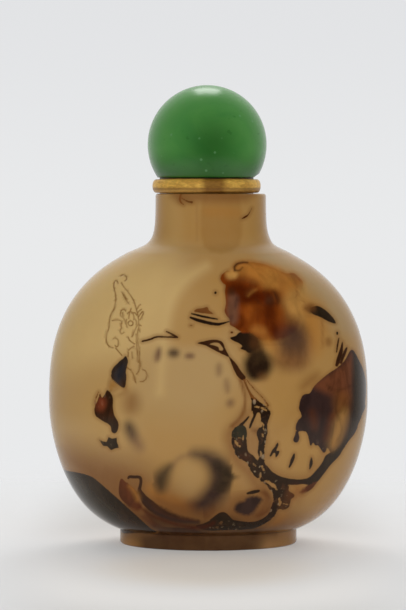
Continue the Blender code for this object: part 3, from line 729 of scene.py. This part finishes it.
# The butterfly, incised in fine grooves on the left of the front
GROOVE = 0.62
BUTTERFLY = [
    [(120.4, 275.8), (123, 274.6), (125.8, 276), (126.4, 279), (124.6, 280.8)],
    [(118, 283.2), (117.2, 281.2), (115.6, 280.4), (114.2, 282), (113.6, 285.4), (114.2, 289.6),
        (115.3, 294), (115.6, 299), (115, 304), (113.6, 308.8), (111.2, 313.4), (109.6, 318.4),
        (109, 323.6), (108.4, 328.6), (106.8, 332.8), (106, 337), (106.2, 341.4), (107.8, 345),
        (110.2, 347), (113, 347.8)],
    [(112.8, 338.9), (114.8, 337.8), (117.3, 339.2), (118.4, 342.2), (118, 345.4), (116.2, 346.8),
        (115.2, 345.6)],
    [(115.6, 348.2), (118.4, 351.6), (121.6, 355.2)],
    [(121.4, 282.6), (123.6, 286.8), (127, 290.8), (130.5, 295.4), (133.2, 300), (135.2, 305.4),
        (136.6, 310.4), (137.8, 315.2), (138.6, 319.6)],
    [(122, 292.2), (123.6, 296), (126, 300), (128.6, 303.8)],
    [(123.6, 293.8), (125.4, 297), (126.6, 299)],
    [(136.6, 309.4), (138.6, 305.8), (140.4, 304.4)],
    [(137.2, 313), (139.4, 310.4), (141.2, 309.4)],
    [(138.6, 316.6), (140.6, 313.6), (142.6, 311.4)],
    [(140, 319.6), (141.8, 316.4), (143.2, 313.4)],
    [(130.4, 320.6), (132.6, 322), (132.6, 324.4), (130.6, 325.6), (128.4, 324.6), (128, 322.2),
        (130.2, 320.6)],
    [(120.9, 310.2), (120.4, 315.2), (121.9, 317)],
    [(121.4, 310), (124, 309.4), (125.6, 310.8)],
    [(131, 308.6), (129.6, 312.2), (129, 315.2), (128.6, 318.4)],
    [(131.6, 313.3), (134.7, 312.8), (136.5, 315)],
    [(112.2, 320.6), (115.3, 319.8), (119.2, 320.2), (121.3, 321.6), (120.8, 325.4), (121.4, 328)],
    [(121.2, 328.2), (119.8, 330.8), (121.4, 333.6), (124.4, 331.8)],
    [(138.6, 319.6), (138.4, 323.6), (138.8, 326.6), (137.8, 330.6), (137.3, 335.8), (137.6, 341.6),
        (138.7, 346.8), (139.2, 352), (139.4, 358.2), (139.7, 363.4), (139.8, 368.4)],
    [(137.8, 324.6), (135.4, 328.6), (133.2, 333.6), (132, 336.6)],
    [(138.8, 324.8), (141, 325.6)],
    [(138.8, 328.6), (139.6, 331.4)],
    [(128, 337.2), (129.2, 339.8), (131.6, 342.2), (134.6, 344)],
    [(128, 350.6), (131.4, 347.6), (133.8, 346.4)],
    [(136, 334), (136.4, 341), (137, 349), (137.6, 356), (138.2, 362.6)],
    [(127.4, 313.6), (129.4, 311.6), (132.2, 312.6), (133.8, 316.6), (133.6, 319.6)],
    [(122.6, 312.6), (122.8, 317.4), (124.6, 319.6)],
    [(126.4, 319.4), (125.8, 323.2), (127, 327)],
    [(134.8, 318.8), (136.4, 321.6), (136, 325)],
    [(128.4, 352.2), (128, 356.2)],
    [(131.7, 352), (132.2, 358.2)],
    [(126.4, 367.2), (130.4, 370.2), (133.2, 374.4), (134.6, 379.4), (135.6, 382.8)],
    [(139.8, 368.4), (138, 372), (136.4, 374)],
    [(142.2, 369.2), (145.4, 371.2), (146.8, 375), (145.8, 378.8), (143.2, 381.2), (140.2, 381.6)],
]
GROOVES = [Mark(BLACK, [(x, y, 0.0) for x, y in stroke]) for stroke in BUTTERFLY]


def nearest_mark(places, marks, reach):
    """Distance to the nearest of the marks, and that mark's number."""
    distance = np.full(len(places), float(reach))
    number = np.zeros(len(places), int)
    for i, mark in enumerate(marks):
        found = mark.distance(places, reach)
        nearer = found < distance
        distance[nearer] = found[nearer]
        number[nearer] = i
    return distance, number


def ink_distance(places, reach=6.0):
    """Distance to the crisp markings less their clear windows, and the number of the nearest marking."""
    distance, number = nearest_mark(places, FRONT_MARKS, reach)
    for window in WINDOWS:
        distance = np.maximum(distance, -window.distance(places, reach))
    return distance, number


def groove_distance(places, reach=4.0):
    """Distance to the middle of the nearest incised line."""
    return nearest_mark(places, GROOVES, reach)[0]


def mark_amount(mark, places):
    """How much of a soft mark there is at each place, from 0 to 1."""
    distance = mark.distance(places, mark.soft + 1.0)
    return mark.strength * smooth_step(0.5 - distance / (2 * mark.soft))


def laid_over(colours, amounts, marks, places):
    """Colours and their own amounts, as they are once soft marks lie over them one after the other."""
    for mark in marks:
        added = mark_amount(mark, places)
        totals = amounts + (1 - amounts) * added
        shares = np.divide(added, totals, out=np.zeros_like(added), where=totals > 1e-6)
        colours = colours + (np.array(linear(mark.colour)[:3]) - colours) * shares[:, None]
        amounts = totals
    return colours, amounts


def coordinates(mesh):
    return np.array([corner.co for corner in mesh.verts])


def subdivide_where(mesh, near):
    """Halves each edge whose ends are both near a marking."""
    mesh.verts.index_update()
    chosen = [e for e in mesh.edges if near[e.verts[0].index] and near[e.verts[1].index]]
    bmesh.ops.subdivide_edges(mesh, edges=chosen, cuts=1, use_grid_fill=True)


def settle_on_outline(points):
    """Moves the points that lie outside on the body onto its true curve."""
    low, high = belly_start(), LIP_LEVEL - LIP_EDGE
    level = np.clip(points[:, 2], low, high)
    reach = body_reach(level)
    across = (points[:, 0] - neck_shift(level)) / reach
    along = points[:, 1] / body_depth(level, reach)
    radius = np.hypot(across, along)
    outside = (radius > OUTSIDE_RADIUS) & (points[:, 2] > low + 1e-5) & (points[:, 2] < high)
    settled = points.copy()
    scale = np.where(outside, 1 / np.maximum(radius, 0.5), 1.0)
    settled[:, 0] = (points[:, 0] - neck_shift(level)) * scale + neck_shift(level)
    settled[:, 1] = points[:, 1] * scale
    return settled, outside


def bottle_mesh():
    """The whole bottle, finer along its markings and finest along the incised butterfly."""
    mesh = oval_skin(bottle_rings(), COLUMNS, FRONT_CROWDING)
    for reach in (FINE_REACH, FINEST_REACH):
        points = coordinates(mesh)
        places = picture_place(points)
        outside = settle_on_outline(points)[1]
        front = outside & (points[:, 1] < 0)
        near = groove_distance(places) < reach
        if reach == FINE_REACH:
            near |= np.abs(ink_distance(places)[0]) < reach
        subdivide_where(mesh, near & front)
    settled = settle_on_outline(coordinates(mesh))[0]
    for corner, place in zip(mesh.verts, settled):
        corner.co = place
    bmesh.ops.recalc_face_normals(mesh, faces=mesh.faces)
    return mesh


SHARP_ANGLE = math.radians(40)


def object_of(name, mesh, material):
    """Makes an object of a bmesh and adds it to the scene."""
    data = bpy.data.meshes.new(name)
    mesh.to_mesh(data)
    mesh.free()
    data.materials.append(material)
    made = bpy.data.objects.new(name, data)
    bpy.context.scene.collection.objects.link(made)
    return made


def add_piece(name, mesh, material, node):
    """Makes a smooth piece of a bmesh, which stands for a node and rides with the object."""
    piece = object_of(name, mesh, material)
    piece.data.shade_smooth()
    piece.data.set_sharp_from_angle(angle=SHARP_ANGLE)
    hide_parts(node)
    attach(piece, "root")
    return piece


def corner_values(data, kind):
    """The places ("co") or the normals ("normal") of a mesh's corners."""
    values = np.empty(len(data.vertices) * 3)
    data.vertices.foreach_get(kind, values)
    return values.reshape(-1, 3)


def add_numbers(data, name, values):
    """Keeps one number, or one colour with its amount, for each corner of a mesh."""
    kind, field = ("FLOAT_COLOR", "color") if values.ndim == 2 else ("FLOAT", "value")
    layer = data.attributes.new(name, kind, "POINT")
    layer.data.foreach_set(field, values.astype(np.float32).ravel())


# Where the markings seen from the front end as the stone turns away, rounded off at the lower left
SIDE_RUN = 0.004
LEFT_END_LEVEL = 0.0075
LEFT_END_RISE = 0.0085
LEFT_END_PULL = 0.006
OUT_OF_REACH = 9


def mark_stone(data):
    """Works out the markings at each corner of the bottle's mesh, and cuts the butterfly into it."""
    points = corner_values(data, "co")
    places = picture_place(points)
    nothing = np.zeros(len(points))
    behind = smooth_step(points[:, 1] / SIDE_RUN)
    rounding = np.where(points[:, 0] < 0, ((points[:, 2] - LEFT_END_LEVEL) / LEFT_END_RISE) ** 2, 0.0)
    past_side = smooth_step((points[:, 1] + LEFT_END_PULL * np.minimum(rounding, 1.0)) / SIDE_RUN)
    distance, number = ink_distance(places)
    colours = np.array([linear(mark.colour)[:3] for mark in FRONT_MARKS])[number]
    colours, amounts = laid_over(colours, nothing + 1, TINTS, places)
    add_numbers(data, "ink", distance + OUT_OF_REACH * past_side)
    add_numbers(data, "ink_colour", np.column_stack([colours, amounts]))
    # The first of these carries painted light and shade on the stone as well as its own deep colour
    for name, marks, lost_behind in (("stain_and_painted_light", STAINS_AND_PAINTED_LIGHT, 0.6), ("veil", VEILS, 1.0)):
        colours, amounts = laid_over(np.zeros((len(points), 3)), nothing, marks, places)
        add_numbers(data, name, np.column_stack([colours, amounts * (1 - lost_behind * behind)]))
    rough = np.max([mark_amount(mark, places) for mark in ROUGH_PLACES], axis=0)
    add_numbers(data, "rough_vein", rough)
    groove = 1 - smooth_step(groove_distance(places) / (2 * GROOVE))
    groove *= points[:, 1] < 0
    add_numbers(data, "groove", groove)
    cut = corner_values(data, "normal") * (groove * GROOVE_DEPTH)[:, None]
    data.vertices.foreach_set("co", (points - cut).ravel())


# Material nodes


def start_material(name, roughness, metallic=0.0, ior=1.5):
    material = bpy.data.materials.new(name)
    material.use_nodes = True
    shader = material.node_tree.nodes["Principled BSDF"]
    shader.inputs["Roughness"].default_value = roughness
    shader.inputs["Metallic"].default_value = metallic
    shader.inputs["IOR"].default_value = ior
    return material, material.node_tree, shader


def link_or_fill(tree, socket, value):
    if isinstance(value, bpy.types.NodeSocket):
        tree.links.new(value, socket)
    else:
        socket.default_value = value


def add_node(tree, kind, links=(), **settings):
    """Adds a node, sets it up, and links or fills its inputs by name or number."""
    node = tree.nodes.new(kind)
    for setting, value in settings.items():
        setattr(node, setting, value)
    for socket, value in dict(links).items():
        link_or_fill(tree, node.inputs[socket], value)
    return node


def ramp(tree, value, low, high, start=0.0, end=1.0):
    """An amount that goes smoothly from start to end while the value goes from low to high."""
    links = {"Value": value, "From Min": low, "From Max": high, "To Min": start, "To Max": end}
    return add_node(tree, "ShaderNodeMapRange", links, interpolation_type="SMOOTHSTEP").outputs["Result"]


def blend_colour(tree, amount, first, second, how="MIX"):
    node = add_node(tree, "ShaderNodeMix", data_type="RGBA", blend_type=how)
    for number, value in ((0, amount), (6, first), (7, second)):
        link_or_fill(tree, node.inputs[number], value)
    return node.outputs[2]


def tinted(tree, body, amount, colour):
    return blend_colour(tree, amount, body, linear(colour))


def calculate(tree, operation, *values):
    return add_node(tree, "ShaderNodeMath", enumerate(values), operation=operation).outputs[0]


def product(tree, value, *others):
    for other in others:
        value = calculate(tree, "MULTIPLY", value, other)
    return value


def gap(tree, value, middle):
    """How far a value is from a middle one, either way."""
    return calculate(tree, "ABSOLUTE", calculate(tree, "SUBTRACT", value, middle))


def object_place(tree):
    return add_node(tree, "ShaderNodeTexCoord").outputs["Object"]


def split(tree, place):
    """The X, Y and Z of a place."""
    return add_node(tree, "ShaderNodeSeparateXYZ", {"Vector": place}).outputs


def length(tree, place):
    return add_node(tree, "ShaderNodeVectorMath", {0: place}, operation="LENGTH").outputs["Value"]


def mapped(tree, place, location=(0, 0, 0), rotation=(0, 0, 0), scale=(1, 1, 1)):
    """A place scaled, turned and then moved."""
    links = {"Vector": place, "Location": location, "Rotation": rotation, "Scale": scale}
    return add_node(tree, "ShaderNodeMapping", links).outputs["Vector"]


def stored(tree, name):
    """What the mesh keeps under a name, as Fac or as Color and Alpha."""
    return add_node(tree, "ShaderNodeAttribute", attribute_name=name).outputs


def texture_group(name, kind, output, fields):
    """A node group that makes an amount, from start to end, of a texture's output from low to high."""
    group = bpy.data.node_groups.new(name, "ShaderNodeTree")
    group.interface.new_socket("Place", in_out="INPUT", socket_type="NodeSocketVector")
    for field in (*fields, "Low", "High", "Start", "End"):
        group.interface.new_socket(field, in_out="INPUT", socket_type="NodeSocketFloat")
    group.interface.new_socket("Amount", in_out="OUTPUT", socket_type="NodeSocketFloat")
    given = add_node(group, "NodeGroupInput").outputs
    links = {field: given[field] for field in fields}
    texture = add_node(group, kind, {"Vector": given["Place"], **links}).outputs[output]
    amount = ramp(group, texture, given["Low"], given["High"], given["Start"], given["End"])
    add_node(group, "NodeGroupOutput", {"Amount": amount})
    return group


# The two effects that several materials use: soft clouds, and round specks
MOTTLING = texture_group("Mottling", "ShaderNodeTexNoise", "Fac", ("Scale", "Detail", "Distortion"))
SPECKS = texture_group("Specks", "ShaderNodeTexVoronoi", "Distance", ("Scale",))


def mottled(tree, place, scale, detail, low, high, start=0.0, end=1.0, distortion=0.0):
    links = {"Place": place, "Scale": scale, "Detail": detail, "Distortion": distortion,
        "Low": low, "High": high, "Start": start, "End": end}
    return add_node(tree, "ShaderNodeGroup", links, node_tree=MOTTLING).outputs["Amount"]


def specked(tree, place, scale, rim, core, strength=1.0):
    links = {"Place": place, "Scale": scale, "Low": rim, "High": core, "Start": 0.0, "End": strength}
    return add_node(tree, "ShaderNodeGroup", links, node_tree=SPECKS).outputs["Amount"]


def spread_light(shader, weight, radius, scale):
    """Lets light spread a little under the surface."""
    shader.inputs["Subsurface Weight"].default_value = weight
    shader.inputs["Subsurface Radius"].default_value = radius
    shader.inputs["Subsurface Scale"].default_value = scale


# Materials


def agate():
    """Honey and grey agate, with its markings from the numbers kept on the mesh, and with painted light:
    lighter on the left and painted shade towards the bottom.
    """
    material, tree, shader = start_material("Agate", 0.14)
    place = object_place(tree)
    apart = split(tree, place)
    # Painted light: the stone is lighter and yellower on the left, where light glows through it, and darker
    # to the right
    right = ramp(tree, apart["X"], -0.022, 0.020)
    body = blend_colour(tree, right, linear((186, 152, 100)), linear((174, 137, 86)))
    # Painted shade: darker towards the bottom, where less light reaches the stone
    body = tinted(tree, body, ramp(tree, apart["Z"], 0.022, 0.004, 0.0, 0.7), (150, 110, 66))
    drift = mottled(tree, place, 75, 2.0, 0.38, 0.64, 0.0, 0.3, distortion=0.6)
    body = tinted(tree, body, drift, (176, 138, 98))
    # The soft colour deep in the stone, with the painted light and shade that is kept with it
    stain_and_painted_light = stored(tree, "stain_and_painted_light")
    wisp = mottled(tree, place, 420, 3.0, 0.3, 0.7, 0.95, 1.02, distortion=0.4)
    body = blend_colour(tree, product(tree, stain_and_painted_light["Alpha"], wisp), body, stain_and_painted_light["Color"])

    rough = stored(tree, "rough_vein")["Fac"]
    noise = add_node(tree, "ShaderNodeTexNoise", {"Vector": place, "Scale": 1900.0, "Detail": 3.0})
    ragged = calculate(tree, "SUBTRACT", noise.outputs["Fac"], 0.5)
    raggedness = calculate(tree, "MULTIPLY_ADD", rough, 3.0, 0.6)
    edge = calculate(tree, "MULTIPLY_ADD", ragged, raggedness, stored(tree, "ink")["Fac"])
    body = tinted(tree, body, ramp(tree, edge, 4.2, 0.2, 0.0, 0.45), (136, 92, 48))
    rust = product(tree, mottled(tree, place, 1100, 3.0, 0.5, 0.72, 0.0, 0.4), rough)
    ink_colour = tinted(tree, stored(tree, "ink_colour")["Color"], rust, (104, 62, 34))
    leaning = mapped(tree, place, rotation=(0.0, 0.7, 0.0), scale=(1.0, 1.0, 0.4))
    fibres = mottled(tree, leaning, 480, 4.0, 0.36, 0.64, 0.76, 1.12, distortion=0.8)
    ink_colour = blend_colour(tree, 1.0, ink_colour, fibres, how="MULTIPLY")
    inked = ramp(tree, edge, 0.55, -0.45)
    body = blend_colour(tree, inked, body, ink_colour)

    grains = mapped(tree, place, scale=(1.0, 1.0, 0.6))
    speck_patches = mottled(tree, place, 800, 2.0, 0.44, 0.56)
    specks = product(tree, specked(tree, grains, 1150, 0.38, 0.22), speck_patches, rough, inked, 0.75)
    body = tinted(tree, body, specks, (164, 140, 108))
    veil = stored(tree, "veil")
    body = blend_colour(tree, product(tree, veil["Alpha"], wisp), body, veil["Color"])
    streaks = mottled(tree, leaning, 620, 3.0, 0.3, 0.7, 0.84, 1.14, distortion=0.3)
    body = blend_colour(tree, veil["Alpha"], body, streaks, how="MULTIPLY")
    scratchy = mottled(tree, place, 900, 3.0, 0.3, 0.7, 0.5, 0.9)
    body = tinted(tree, body, product(tree, stored(tree, "groove")["Fac"], scratchy), (120, 78, 28))
    tree.links.new(body, shader.inputs["Base Color"])
    shader.inputs["Specular IOR Level"].default_value = 0.36
    shader.inputs["Specular Tint"].default_value = (1.0, 0.88, 0.72, 1.0)
    spread_light(shader, 0.12, (1.0, 0.55, 0.3), 0.0015)
    return material


# The middle of the stopper's darker heart
HEART = Vector((0.0005, -0.0085, 0.0670))


def green_stone():
    """Even green stone, darker in its heart, with a painted reflection that makes it paler towards its rim
    and painted shade that makes it darker low down.
    """
    material, tree, shader = start_material("Green stone", 0.25, ior=1.52)
    place = object_place(tree)
    veil = mottled(tree, place, 120, 3.0, 0.36, 0.66, distortion=1.2)
    body = blend_colour(tree, veil, linear((68, 133, 62)), linear((79, 142, 66)))
    # Painted reflection: paler towards the rim, where the edge catches light from the surroundings
    outward = length(tree, mapped(tree, place, location=(0, 0, -STOPPER_CENTRE.z), scale=(1, 0, 1)))
    body = tinted(tree, body, ramp(tree, outward, 0.0045, STOPPER_RADIUS, 0.0, 0.8), (98, 156, 86))
    from_heart = length(tree, mapped(tree, place, location=-HEART))
    body = tinted(tree, body, ramp(tree, from_heart, 0.0066, 0.0006, 0.0, 0.8), (20, 84, 12))
    # Painted shade: darker low down, where less light comes up from below
    level = split(tree, place)["Z"]
    body = tinted(tree, body, ramp(tree, level, 0.0668, 0.0614, 0.0, 0.8), (26, 84, 14))
    body = tinted(tree, body, mottled(tree, place, 700, 2.0, 0.66, 0.74, 0.0, 0.35), (28, 84, 22))
    body = tinted(tree, body, specked(tree, place, 420, 0.13, 0.05, 0.5), (110, 160, 110))
    tree.links.new(body, shader.inputs["Base Color"])
    spread_light(shader, 0.35, (0.4, 1.0, 0.4), 0.002)
    return material


# How metallic the gilding is, how far right its rubbed place lies, and the level of the line round it
GILT_SHINE = 0.3
RUBBED_MIDDLE = 0.0009
GILT_LINE = 0.0598


def worn_gilt():
    """Gilding rubbed brown at the front, with a fine line round it and dark cement on its top."""
    material, tree, shader = start_material("Worn gilt", 0.42, metallic=GILT_SHINE)
    place = object_place(tree)
    apart = split(tree, place)
    level = apart["Z"]
    around = mapped(tree, place, scale=(1.0, 1.0, 3.2))
    wear = mottled(tree, around, 420, 3.0, 0.44, 0.62, 0.0, 0.55, distortion=0.8)
    body = blend_colour(tree, wear, linear((246, 194, 88)), linear((200, 144, 60)))
    body = tinted(tree, body, ramp(tree, level, 0.0603, 0.0597, 0.0, 0.8), (180, 134, 64))
    front = ramp(tree, apart["Y"], -0.002, -0.005)
    beside = gap(tree, apart["X"], RUBBED_MIDDLE)
    rubbed = product(tree, ramp(tree, beside, 0.0026, 0.0010, 0.0, 0.85), front)
    body = tinted(tree, body, rubbed, (138, 90, 28))
    line = ramp(tree, gap(tree, level, GILT_LINE), 0.0002, 0.00005, 0.0, 0.4)
    body = tinted(tree, body, line, (120, 80, 32))
    fine = mottled(tree, around, 1500, 3.0, 0.35, 0.7, 0.84, 1.1)
    body = blend_colour(tree, 1.0, body, fine, how="MULTIPLY")
    cement = ramp(tree, level, COLLAR_TOP + 0.00004, COLLAR_TOP + 0.00008)
    body = tinted(tree, body, cement, (34, 26, 16))
    tree.links.new(body, shader.inputs["Base Color"])
    metal = calculate(tree, "MAXIMUM", calculate(tree, "SUBTRACT", GILT_SHINE, cement), 0.0)
    tree.links.new(metal, shader.inputs["Metallic"])
    return material


def cork_bark():
    material, tree, shader = start_material("Cork", 0.85)
    grain = mottled(tree, object_place(tree), 1400, 4.0, 0.4, 0.62)
    body = blend_colour(tree, grain, linear((168, 118, 70)), linear((112, 70, 38)))
    tree.links.new(body, shader.inputs["Base Color"])
    bump = add_node(tree, "ShaderNodeBump", {"Height": grain, "Strength": 0.4, "Distance": 0.0002})
    tree.links.new(bump.outputs["Normal"], shader.inputs["Normal"])
    return material


# Stopper, collar and cork

COLLAR_LOW, COLLAR_HIGH = (Vector(corner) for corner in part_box("collar"))
STOPPER_LOW, STOPPER_HIGH = (Vector(corner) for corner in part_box("stopper"))
COLLAR_RADIUS = (COLLAR_HIGH.x - COLLAR_LOW.x) / 2
COLLAR_MIDDLE = (COLLAR_HIGH.x + COLLAR_LOW.x) / 2
COLLAR_TOP = COLLAR_HIGH.z
COLLAR_EDGE = 0.0008
COLLAR_BULGE_POWER = 0.7
COLLAR_STEPS = 24
COLLAR_COLUMNS = 192
COLLAR_SEAT = 0.00018
SEAT_INSET = 0.0012
STOPPER_RADIUS = (STOPPER_HIGH.y - STOPPER_LOW.y) / 2
STOPPER_CENTRE = Vector(((STOPPER_LOW.x + STOPPER_HIGH.x) / 2, 0, STOPPER_HIGH.z - STOPPER_RADIUS))
CEMENT_RADIUS = 0.0079
STOPPER_COLUMNS = 128
STOPPER_RINGS = 96
CHIP_DEPTH = 0.0011
CHIP_ANGLE = math.radians(-56)
CORK_TAPER = 0.10
CORK_RINGS = 9
CORK_COLUMNS = 48
# What is left between a piece and the one it touches
HAIR = 0.00002


def collar_rings():
    """The collar from its seat on the lip, round its bulging edge, to the bed of cement on its top."""
    bottom = COLLAR_LOW.z - COLLAR_SEAT
    half = (COLLAR_TOP - bottom) / 2
    seat = COLLAR_RADIUS - SEAT_INSET
    rings = [(seat, LIP_LEVEL + HAIR), (seat, bottom)]
    for angle in np.radians(np.linspace(-90, 90, COLLAR_STEPS + 1)):
        bulge = math.cos(angle) ** COLLAR_BULGE_POWER
        rings.append((COLLAR_RADIUS - COLLAR_EDGE * (1 - bulge), bottom + half * (1 + math.sin(angle))))
    rings += [(CEMENT_RADIUS, COLLAR_TOP), (CEMENT_RADIUS, STOPPER_LOW.z - HAIR)]
    return [(reach, reach, level, COLLAR_MIDDLE) for reach, level in rings]


def cut_flat(mesh, point, facing):
    """Cuts away what lies beyond a plane and closes the cut with a flat face."""
    everything = list(mesh.verts) + list(mesh.edges) + list(mesh.faces)
    cut = bmesh.ops.bisect_plane(mesh, geom=everything, plane_co=point, plane_no=facing, clear_outer=True)
    rim = [item for item in cut["geom_cut"] if isinstance(item, bmesh.types.BMEdge)]
    bmesh.ops.edgeloop_fill(mesh, edges=rim)


def stopper_mesh():
    mesh = bmesh.new()
    counts = {"u_segments": STOPPER_COLUMNS, "v_segments": STOPPER_RINGS}
    bmesh.ops.create_uvsphere(mesh, radius=STOPPER_RADIUS, **counts)
    cut_flat(mesh, (0, 0, STOPPER_LOW.z - STOPPER_CENTRE.z), (0, 0, -1))
    facing = Vector((math.cos(CHIP_ANGLE), 0, math.sin(CHIP_ANGLE)))
    cut_flat(mesh, facing * (STOPPER_RADIUS - CHIP_DEPTH), facing)
    bmesh.ops.translate(mesh, vec=STOPPER_CENTRE, verts=mesh.verts)
    bmesh.ops.recalc_face_normals(mesh, faces=mesh.faces)
    return mesh


def cork_mesh():
    """The cork plug, a little narrower at its lower end."""
    low, high = (Vector(corner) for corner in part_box("stopper_cork"))
    radius = (high.x - low.x) / 2
    middle = (high.x + low.x) / 2
    rings = []
    for share in np.linspace(0, 1, CORK_RINGS):
        reach = radius * (1 - CORK_TAPER * (1 - share))
        rings.append((reach, reach, low.z + (high.z - low.z) * share, middle))
    return oval_skin(rings, CORK_COLUMNS)


# Stage, lights and camera

FLOOR_RADIUS = 0.9
FLOOR_COLUMNS = 96


def add_floor():
    """A pale floor that fades into the backdrop away from the bottle, with painted light and shadow round
    the bottle: a warm glow at its foot, paler paper that lightens its shadow, and a painted shadow in front
    of it; near the bottle the floor is only partly opaque, so the backdrop lightens its shadows.
    """
    material, tree, shader = start_material("Floor", 0.7, ior=1.2)
    place = object_place(tree)
    away = length(tree, mapped(tree, place, location=(0.0, 0.028, 0.0), scale=(1.2, 1.0, 1.0)))
    # Painted light round the bottle's foot: a warm glow of light passed through the stone, then paler paper
    # that lightens the bottle's shadow
    near = ramp(tree, away, 0.010, 0.026)
    paper_with_painted_light = blend_colour(tree, near, (0.94, 0.84, 0.71, 1), (0.95, 0.925, 0.89, 1))
    # Painted shadow: darker paper in front of the bottle, in a band that stops at the sides, where the floor
    # is plain
    paper_with_painted_light = blend_colour(tree, ramp(tree, away, 0.028, 0.058), paper_with_painted_light, (0.60, 0.582, 0.555, 1))
    apart = split(tree, place)
    sideways = ramp(tree, gap(tree, apart["X"], 0.0), 0.016, 0.036)
    paper_with_painted_light = blend_colour(tree, sideways, paper_with_painted_light, (0.80, 0.80, 0.80, 1))
    tree.links.new(paper_with_painted_light, shader.inputs["Base Color"])
    # Painted light: even next to the bottle the floor is only partly opaque, so the bright backdrop lightens
    # its shadows; it fades out behind and far away
    fade_and_shadow_lift = ramp(tree, apart["Y"], 0.02, 0.14, 0.76, 0.0)
    fade_and_shadow_lift = product(tree, fade_and_shadow_lift, ramp(tree, length(tree, place), 0.08, 0.19, 1.0, 0.0))
    tree.links.new(fade_and_shadow_lift, shader.inputs["Alpha"])
    mesh = bmesh.new()
    bmesh.ops.create_circle(mesh, cap_ends=True, radius=FLOOR_RADIUS, segments=FLOOR_COLUMNS)
    object_of("floor", mesh, material)


def add_softbox(name, place, aim, size, power, in_gloss):
    light = bpy.data.lights.new(name, "AREA")
    light.shape = "RECTANGLE"
    light.size, light.size_y = size
    light.energy = power
    lamp = bpy.data.objects.new(name, light)
    lamp.location = place
    lamp.rotation_euler = (Vector(aim) - Vector(place)).to_track_quat("-Z", "Y").to_euler()
    lamp.visible_glossy = in_gloss
    bpy.context.scene.collection.objects.link(lamp)


def add_surroundings():
    """A pale backdrop. In reflections it is bright behind and above the bottle and dim in front of it."""
    world = bpy.data.worlds.new("Studio")
    bpy.context.scene.world = world
    world.use_nodes = True
    tree = world.node_tree
    apart = split(tree, add_node(tree, "ShaderNodeTexCoord").outputs["Generated"])
    upward = ramp(tree, apart["Z"], -0.03, 0.09)
    seen = blend_colour(tree, upward, linear((233, 234, 235)), linear((226, 227, 229)))
    behind = ramp(tree, apart["Y"], 0.0, 1.0)
    mirrored = blend_colour(tree, behind, (0.03, 0.03, 0.03, 1), (0.8, 0.81, 0.82, 1))
    path = add_node(tree, "ShaderNodeLightPath").outputs
    light = blend_colour(tree, path["Is Glossy Ray"], (0.45, 0.45, 0.45, 1), mirrored)
    light = blend_colour(tree, path["Is Camera Ray"], light, seen)
    tree.links.new(light, tree.nodes["Background"].inputs["Color"])


def add_camera():
    camera_data = bpy.data.cameras.new("Camera")
    camera_data.lens = LENS_MM
    camera_data.sensor_width = SENSOR_MM
    camera = bpy.data.objects.new("Camera", camera_data)
    camera.location = (CAMERA_ASIDE, -CAMERA_DISTANCE, CAMERA_HEIGHT)
    camera.rotation_euler = (math.radians(90) - CAMERA_PITCH, 0, 0)
    bpy.context.scene.collection.objects.link(camera)
    bpy.context.scene.camera = camera


def main():
    bottle = add_piece("agate_bottle", bottle_mesh(), agate(), "bottle")
    mark_stone(bottle.data)
    add_piece("gilt_collar", oval_skin(collar_rings(), COLLAR_COLUMNS), worn_gilt(), "collar")
    add_piece("green_stopper", stopper_mesh(), green_stone(), "stopper")
    add_piece("cork_plug", cork_mesh(), cork_bark(), "stopper_cork")
    add_floor()
    add_surroundings()
    add_softbox("window", (0, 0.2344, 0.391), STOPPER_CENTRE, (0.14, 0.18), 0.31, True)
    add_softbox("backlight", (0, 0.90, 0.78), (0, 0, 0.03), (1.4, 0.8), 9.0, False)
    add_softbox("front_card", (0, -1.0, 0.35), (0, 0, 0.04), (1.6, 0.9), 5.5, False)
    add_camera()
    bpy.context.scene.view_settings.view_transform = "Standard"


main()
